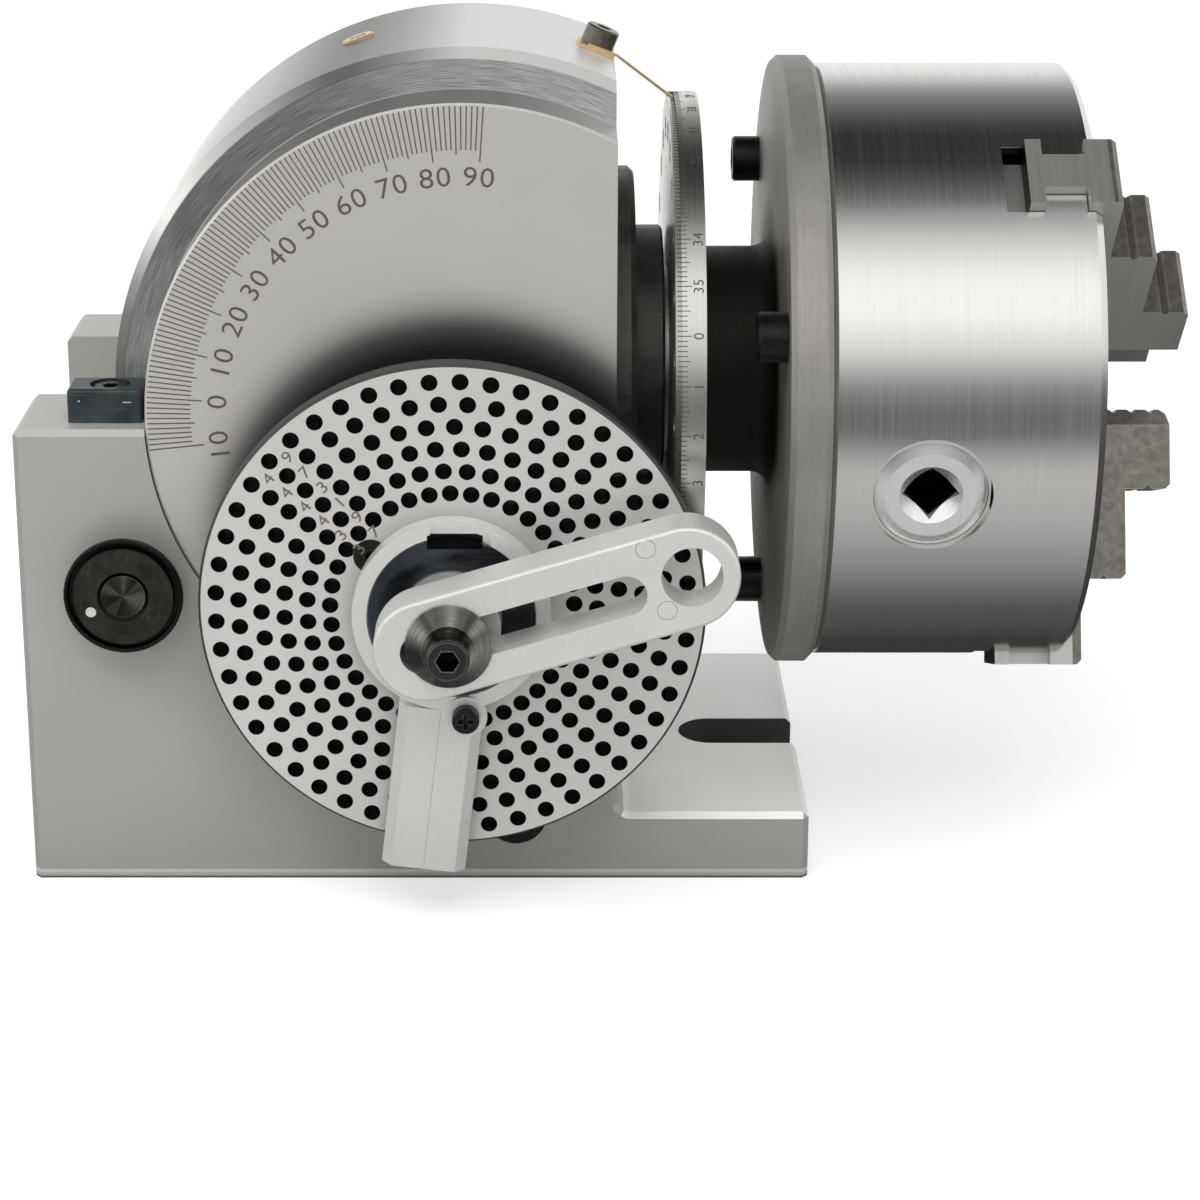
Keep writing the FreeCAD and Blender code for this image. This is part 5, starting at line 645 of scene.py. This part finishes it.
class Marks:
    """Collects bars and digits into one mesh."""

    def __init__(self, surface):
        self.surface = surface
        self.mesh = bmesh.new()

    def bar(self, start, end, width):
        """A thin closed bar from start to end, both in flat coordinates."""
        run = Vector((end[0] - start[0], end[1] - start[1])).normalized() * width / 2
        side = Vector((-run.y, run.x))
        outline = [(start[0] + side.x, start[1] + side.y), (start[0] - side.x, start[1] - side.y),
                   (end[0] - side.x, end[1] - side.y), (end[0] + side.x, end[1] + side.y)]
        low = [self.mesh.verts.new(self.surface(u, v, -SUNK)) for u, v in outline]
        high = [self.mesh.verts.new(self.surface(u, v, PROUD)) for u, v in outline]
        self.mesh.faces.new(high)
        self.mesh.faces.new(list(reversed(low)))
        for i in range(4):
            j = (i + 1) % 4
            self.mesh.faces.new((low[i], low[j], high[j], high[i]))

    def words(self, text, middle, height, turn, narrow=1.1, thin=-0.014):
        """Digits of that height, centred on middle and turned by that angle in radians.

        narrow scales their width, and thin, below zero, draws their strokes finer.
        """
        curve = bpy.data.curves.new("digits", "FONT")
        curve.body = text
        curve.align_x = "CENTER"
        curve.align_y = "CENTER"
        curve.size = height / 0.73
        curve.offset = thin
        curve.space_character = 1.08
        curve.extrude = (PROUD + SUNK) / 2
        curve.resolution_u = 3
        holder = bpy.data.objects.new("digits", curve)
        scene.collection.objects.link(holder)
        bpy.context.view_layer.update()
        shape = bpy.data.meshes.new_from_object(holder)
        bpy.data.objects.remove(holder)
        spin = Matrix.Rotation(turn, 2)
        lift = (PROUD - SUNK) / 2
        points = [vertex.co for vertex in shape.vertices]
        middle_of_shape = sum(points, Vector()) / len(points)
        centre = [(min(p[axis] for p in points) + max(p[axis] for p in points)) / 2 for axis in (0, 1)]
        verts = []
        for vertex in shape.vertices:
            flat = spin @ Vector(((vertex.co.x - centre[0]) * narrow, vertex.co.y - centre[1]))
            height_there = vertex.co.z - middle_of_shape.z + lift
            place = self.surface(middle[0] + flat.x, middle[1] + flat.y, height_there)
            verts.append(self.mesh.verts.new(place))
        for polygon in shape.polygons:
            corners = [verts[i] for i in polygon.vertices]
            if len(set(corners)) == len(corners):
                self.mesh.faces.new(corners)
        bpy.data.meshes.remove(shape)

    def piece(self, name, material, body, slot):
        bmesh.ops.remove_doubles(self.mesh, verts=self.mesh.verts, dist=1e-7)
        bmesh.ops.recalc_face_normals(self.mesh, faces=self.mesh.faces)
        return finished(name, self.mesh, material, body)


def finished(name, mesh, material, body, smooth=False):
    """Turns a bmesh into a piece that rides on a body."""
    data = bpy.data.meshes.new(name)
    mesh.to_mesh(data)
    mesh.free()
    data.materials.append(material)
    if smooth:
        data.shade_smooth()
        data.set_sharp_from_angle(angle=math.radians(35.0))
    piece = bpy.data.objects.new(name, data)
    scene.collection.objects.link(piece)
    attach(piece, body)
    return piece


def face_scale():
    """Degrees round the head's front disc: ticks from 10 below zero to 90, labels inside them."""
    marks = Marks(on_front(DISC_FRONT))
    outer = 62.9
    label = 49.0
    line_width = 0.27
    digit_height = 4.1
    zero_at = 4.0
    tick_ends = {10: 52.0, 5: 53.4, 1: 54.2}
    for degree in range(-10, 91):
        kind = 10 if degree % 10 == 0 else 5 if degree % 5 == 0 else 1
        angle = math.radians(180.0 - degree - zero_at)
        direction = (math.cos(angle), math.sin(angle))
        start, end, middle = [
            (radius * direction[0], SWIVEL_HEIGHT + radius * direction[1])
            for radius in (outer, tick_ends[kind], label)
        ]
        marks.bar(start, end, line_width)
        if kind == 10:
            marks.words(str(abs(degree)), middle, digit_height, angle - math.pi / 2)
    return marks.piece("face_scale", INK, "head", "head_iron")


def dial_scale():
    """360 ticks round the dial's rim, a number each ten degrees, read along the rim."""
    marks = Marks(on_dial)
    zero_at = 20.0
    start = DIAL_LEFT + 0.3
    label = DIAL_LEFT + 4.45
    line_width = 0.17
    digit_height = 2.1
    tick_ends = {10: 3.15, 5: 2.85, 1: 2.25}
    for degree in range(360):
        kind = 10 if degree % 10 == 0 else 5 if degree % 5 == 0 else 1
        rim = math.radians(zero_at - degree) * DIAL_RADIUS
        marks.bar((start, rim), (DIAL_LEFT + tick_ends[kind], rim), line_width)
        if kind == 10:
            marks.words(str(degree // 10), (label, rim), digit_height, math.pi / 2, 1.0, -0.01)
    return marks.piece("dial_scale", GREY_INK, "spindle_line", "ground_steel")


def plate_numbers():
    """The count of each hole circle, one digit each side of its first hole."""
    marks = Marks(on_front(PLATE_FRONT))
    circles = {49: 46.5, 47: 42.0, 43: 37.5, 41: 33.0, 39: 28.5, 37: 24.0}
    first_hole = 139.0
    inward = 1.95
    digit_height = 2.5
    smallest = 24.0
    for count, radius in circles.items():
        reach = 2.35 + (radius - smallest) / 40.0
        between = radius - inward
        for digit, side in ((count // 10, 1.0), (count % 10, -1.0)):
            angle = math.radians(first_hole) + side * reach / between
            middle = (PLATE_CENTRE[0] + between * math.cos(angle),
                      PLATE_CENTRE[1] + between * math.sin(angle))
            marks.words(str(digit), middle, digit_height, angle - math.pi / 2, 1.15, -0.004)
    return marks.piece("plate_numbers", PALE_INK, "sleeve", "ground_steel")


def index_line():
    """The zero line of the fixed block, read against the head's scale."""
    marks = Marks(on_front(-39.0))
    marks.bar((-68.4, 101.8), (-66.7, 101.75), 0.16)
    marks.bar((-77.3, 102.0), (-77.0, 102.0), 0.3)
    return marks.piece("index_line", WHITE_INK, "base", "black_steel")


def knurled_knob():
    """The clamp knob: a hub, a finely knurled flange, a deep black ring groove, a flat worn face."""
    bore = 4.45
    rim = 12.0
    hub = 9.6
    back = -44.7
    front = KNOB_FRONT
    flange_back = front + 1.7
    groove_outer = 11.1
    groove_inner = 10.2
    groove_floor = front + 1.5
    stud_clear = 5.0
    crosses = 90
    steps = crosses * 5
    rows = 5
    knurl = 0.16
    profile = [(bore, back), (hub - 0.4, back), (hub, back - 0.4), (hub, flange_back),
               (rim - 0.5, flange_back)]
    first_knurled = len(profile)
    for row in range(rows):
        share = row / (rows - 1)
        profile.append((rim - 0.01, flange_back - 0.25 - share * 1.2))
    last_knurled = len(profile) - 1
    profile += [(rim - 0.35, front), (groove_outer + 0.25, front), (groove_outer, front + 0.25),
                (groove_outer - 0.2, groove_floor), (groove_inner + 0.1, groove_floor),
                (groove_inner, front + 0.2), (groove_inner - 0.2, front), (stud_clear + 0.2, front),
                (stud_clear, front + 0.25), (bore, front + 0.6)]
    mesh = bmesh.new()
    rings = []
    for index, (radius, depth) in enumerate(profile):
        ring = []
        for step in range(steps):
            angle = 2 * math.pi * step / steps
            here = radius
            if first_knurled <= index <= last_knurled:
                rise = (index - first_knurled) * math.pi / 4
                swing = crosses * angle / 2
                waves = abs(math.sin(swing + rise)) * abs(math.sin(swing - rise))
                here = radius - knurl * (1.0 - waves)
            ring.append(mesh.verts.new(Vector((KNOB_CENTRE[0] + here * math.cos(angle), depth,
                                               KNOB_CENTRE[1] + here * math.sin(angle))) * MM))
        rings.append(ring)
    for index in range(len(rings)):
        inner, outer = rings[index], rings[(index + 1) % len(rings)]
        for step in range(steps):
            after = (step + 1) % steps
            mesh.faces.new((inner[step], inner[after], outer[after], outer[step]))
    bmesh.ops.recalc_face_normals(mesh, faces=mesh.faces)
    piece = finished("knurled_knob", mesh, knob_black(), "clamp_knob", True)
    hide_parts("lock_knob")
    return piece


def knob_black():
    """Blackened steel of the knob: a worn grey face, black in its groove and round its edge."""
    web = Finish("knob_black", 0.7)
    radius, _, along = web.polar("y", KNOB_CENTRE)
    clouds = web.noise(web.place, 240.0, 4.0, 0.65)
    scratches = web.noise(web.stretched(web.place, (1400.0, 1400.0, 260.0)), 1.0, 3.0, 0.7)
    on_face = web.all_of(web.within(radius, *KNOB_FACE), web.short_of(along, KNOB_FRONT + 0.3))
    worn = web.laid(shade(38, 38, 34), shade(66, 66, 60), clouds, 1.0)
    scratched = web.laid(worn, shade(128, 126, 116), scratches, 0.3, 0.62, 0.74)
    whole = web.mixed(on_face, shade(16, 16, 14), scratched)
    # Edges a little lighter: partly wear, partly painted highlight.
    edged = web.mixed(web.math("MULTIPLY", web.edges(0.2), 0.35), whole, shade(130, 128, 120))
    return web.done(edged, web.spread(clouds, 0.3, 0.48), web.bump(scratches, 0.004))


def dot(name, centre, depth, radius, material, body):
    """A small flat dot on a face that looks towards the viewer."""
    mesh = bmesh.new()
    surface = on_front(depth)
    steps = 40
    layers = []
    for level in (PROUD, -SUNK):
        ring = []
        for step in range(steps):
            angle = 2 * math.pi * step / steps
            place = surface(centre[0] + radius * math.cos(angle), centre[1] + radius * math.sin(angle), level)
            ring.append(mesh.verts.new(place))
        layers.append((ring, mesh.verts.new(surface(centre[0], centre[1], level))))
    (upper, upper_middle), (lower, lower_middle) = layers
    for step in range(steps):
        after = (step + 1) % steps
        mesh.faces.new((upper[step], upper[after], upper_middle))
        mesh.faces.new((lower_middle, lower[step], lower[after]))
        mesh.faces.new((lower[step], lower[after], upper[after], upper[step]))
    bmesh.ops.recalc_face_normals(mesh, faces=mesh.faces)
    return finished(name, mesh, material, body)


face_scale()
dial_scale()
plate_numbers()
index_line()
knurled_knob()
dot("knob_dot", KNOB_DOT, KNOB_FRONT, KNOB_DOT_RADIUS, FINISHES["blasted_steel"], "clamp_knob")


# Floor, light and camera

def background_colour(tree, plain, shown):
    """plain for light that falls on things, shown for what the camera, metal and glass see."""
    path = tree.nodes.new("ShaderNodeLightPath")
    seen = path.outputs["Is Camera Ray"]
    for name in ("Is Glossy Ray", "Is Transmission Ray"):
        either = tree.nodes.new("ShaderNodeMath")
        either.operation = "MAXIMUM"
        tree.links.new(seen, either.inputs[0])
        tree.links.new(path.outputs[name], either.inputs[1])
        seen = either.outputs[0]
    level = tree.nodes.new("ShaderNodeMapRange")
    level.inputs["To Min"].default_value = plain
    level.inputs["To Max"].default_value = shown
    tree.links.new(seen, level.inputs["Value"])
    return level.outputs["Result"]


def build_world():
    world = bpy.data.worlds.new("studio")
    world.use_nodes = True
    tree = world.node_tree
    back = tree.nodes["Background"]
    back.inputs["Color"].default_value = (1.0, 1.0, 1.0, 1.0)
    tree.links.new(background_colour(tree, 0.6, 1.0), back.inputs["Strength"])
    scene.world = world


def build_floor():
    mesh = bmesh.new()
    reach = 6.0
    signs = ((-1, -1), (1, -1), (1, 1), (-1, 1))
    corners = [mesh.verts.new((x * reach, y * reach, 0.0)) for x, y in signs]
    mesh.faces.new(corners)
    data = bpy.data.meshes.new("floor")
    mesh.to_mesh(data)
    mesh.free()
    material = bpy.data.materials.new("floor_paper")
    material.use_nodes = True
    tree = material.node_tree
    shader = tree.nodes["Principled BSDF"]
    shader.inputs["Base Color"].default_value = (0.6, 0.6, 0.6, 1.0)
    shader.inputs["Roughness"].default_value = 0.9
    shader.inputs["Specular IOR Level"].default_value = 0.1
    shader.inputs["Emission Color"].default_value = (1.0, 1.0, 1.0, 1.0)
    tree.links.new(background_colour(tree, 0.0, 0.6), shader.inputs["Emission Strength"])
    data.materials.append(material)
    floor = bpy.data.objects.new("floor", data)
    scene.collection.objects.link(floor)


def build_flag(name, points, levels):
    """A dark studio card that only shows in the metal's reflections. Points run across it as (y, z)."""
    mesh = bmesh.new()
    reach = 1.8
    tones = mesh.verts.layers.float_color.new("tone")
    rows = [[mesh.verts.new((side * reach, y, z)) for side in (-1, 1)] for y, z in points]
    for row, level in zip(rows, levels):
        for vertex in row:
            vertex[tones] = (level, level, level, 1.0)
    for lower, upper in zip(rows, rows[1:]):
        mesh.faces.new((lower[0], lower[1], upper[1], upper[0]))
    data = bpy.data.meshes.new(name)
    mesh.to_mesh(data)
    mesh.free()
    material = bpy.data.materials.new(name)
    material.use_nodes = True
    tree = material.node_tree
    tree.nodes.remove(tree.nodes["Principled BSDF"])
    glow = tree.nodes.new("ShaderNodeEmission")
    tone = tree.nodes.new("ShaderNodeAttribute")
    tone.attribute_name = "tone"
    tree.links.new(tone.outputs["Color"], glow.inputs["Color"])
    tree.links.new(glow.outputs[0], tree.nodes["Material Output"].inputs["Surface"])
    data.materials.append(material)
    card = bpy.data.objects.new(name, data)
    scene.collection.objects.link(card)
    card.visible_camera = False
    card.visible_diffuse = False
    card.visible_shadow = False
    card.visible_transmission = False


# The dark card on the floor: how far in front of the spindle each band lies, in metres, and its tone
FLAG_HEIGHT = 0.002
FLAG = [(0.30, 0.3), (0.12, 0.05), (0.0, 0.04), (-0.05, 0.12), (-0.09, 0.36), (-0.13, 0.52), (-0.18, 0.58),
        (-0.24, 0.62), (-0.30, 0.5), (-0.42, 0.2), (-0.70, 0.13), (-1.30, 0.14)]
# The tent of cloth over the object: how high each band stands, in degrees from the front, and its tone
TENT = [(-4.3, 0.14), (6.0, 0.28), (18.0, 0.92), (33.0, 1.3), (47.0, 1.2), (62.0, 0.72), (76.0, 0.14),
        (92.0, 0.03), (112.0, 0.03), (136.0, 0.3), (156.0, 1.0), (172.0, 1.05)]
TENT_RADIUS = 1.3


def tent_points():
    """The tent of soft cloth over the object, from low in front to low behind, as (y, z)."""
    return [(-TENT_RADIUS * math.cos(math.radians(rise)),
             SWIVEL_HEIGHT * MM + TENT_RADIUS * math.sin(math.radians(rise))) for rise, _ in TENT]


def softbox(name, place, aim, width, height, power):
    data = bpy.data.lights.new(name, "AREA")
    data.shape = "RECTANGLE"
    data.size = width
    data.size_y = height
    data.energy = power
    lamp = bpy.data.objects.new(name, data)
    lamp.location = place
    lamp.rotation_euler = (Vector(aim) - Vector(place)).to_track_quat("-Z", "Y").to_euler()
    scene.collection.objects.link(lamp)
    return lamp


def build_camera():
    data = bpy.data.cameras.new("camera")
    data.sensor_width = 36.0
    data.lens = 89.32
    data.shift_x = 0.03846
    data.shift_y = -0.14331
    data.clip_start = 0.01
    data.clip_end = 50.0
    camera = bpy.data.objects.new("camera", data)
    camera.location = (0.017977, -0.610801, 0.270951)
    camera.rotation_euler = (math.pi / 2 - 0.296272, 0.0, 0.0)
    scene.collection.objects.link(camera)
    scene.camera = camera


build_world()
build_floor()
build_flag("floor_flag", [(y, FLAG_HEIGHT) for y, _ in FLAG], [level for _, level in FLAG])
build_flag("tent", tent_points(), [level for _, level in TENT])
key = softbox("key_light", (-0.25, -0.75, 1.35), (0.02, 0.0, 0.1), 1.6, 0.9, 15.0)
key.visible_glossy = False
build_camera()

scene.view_settings.view_transform = "Standard"
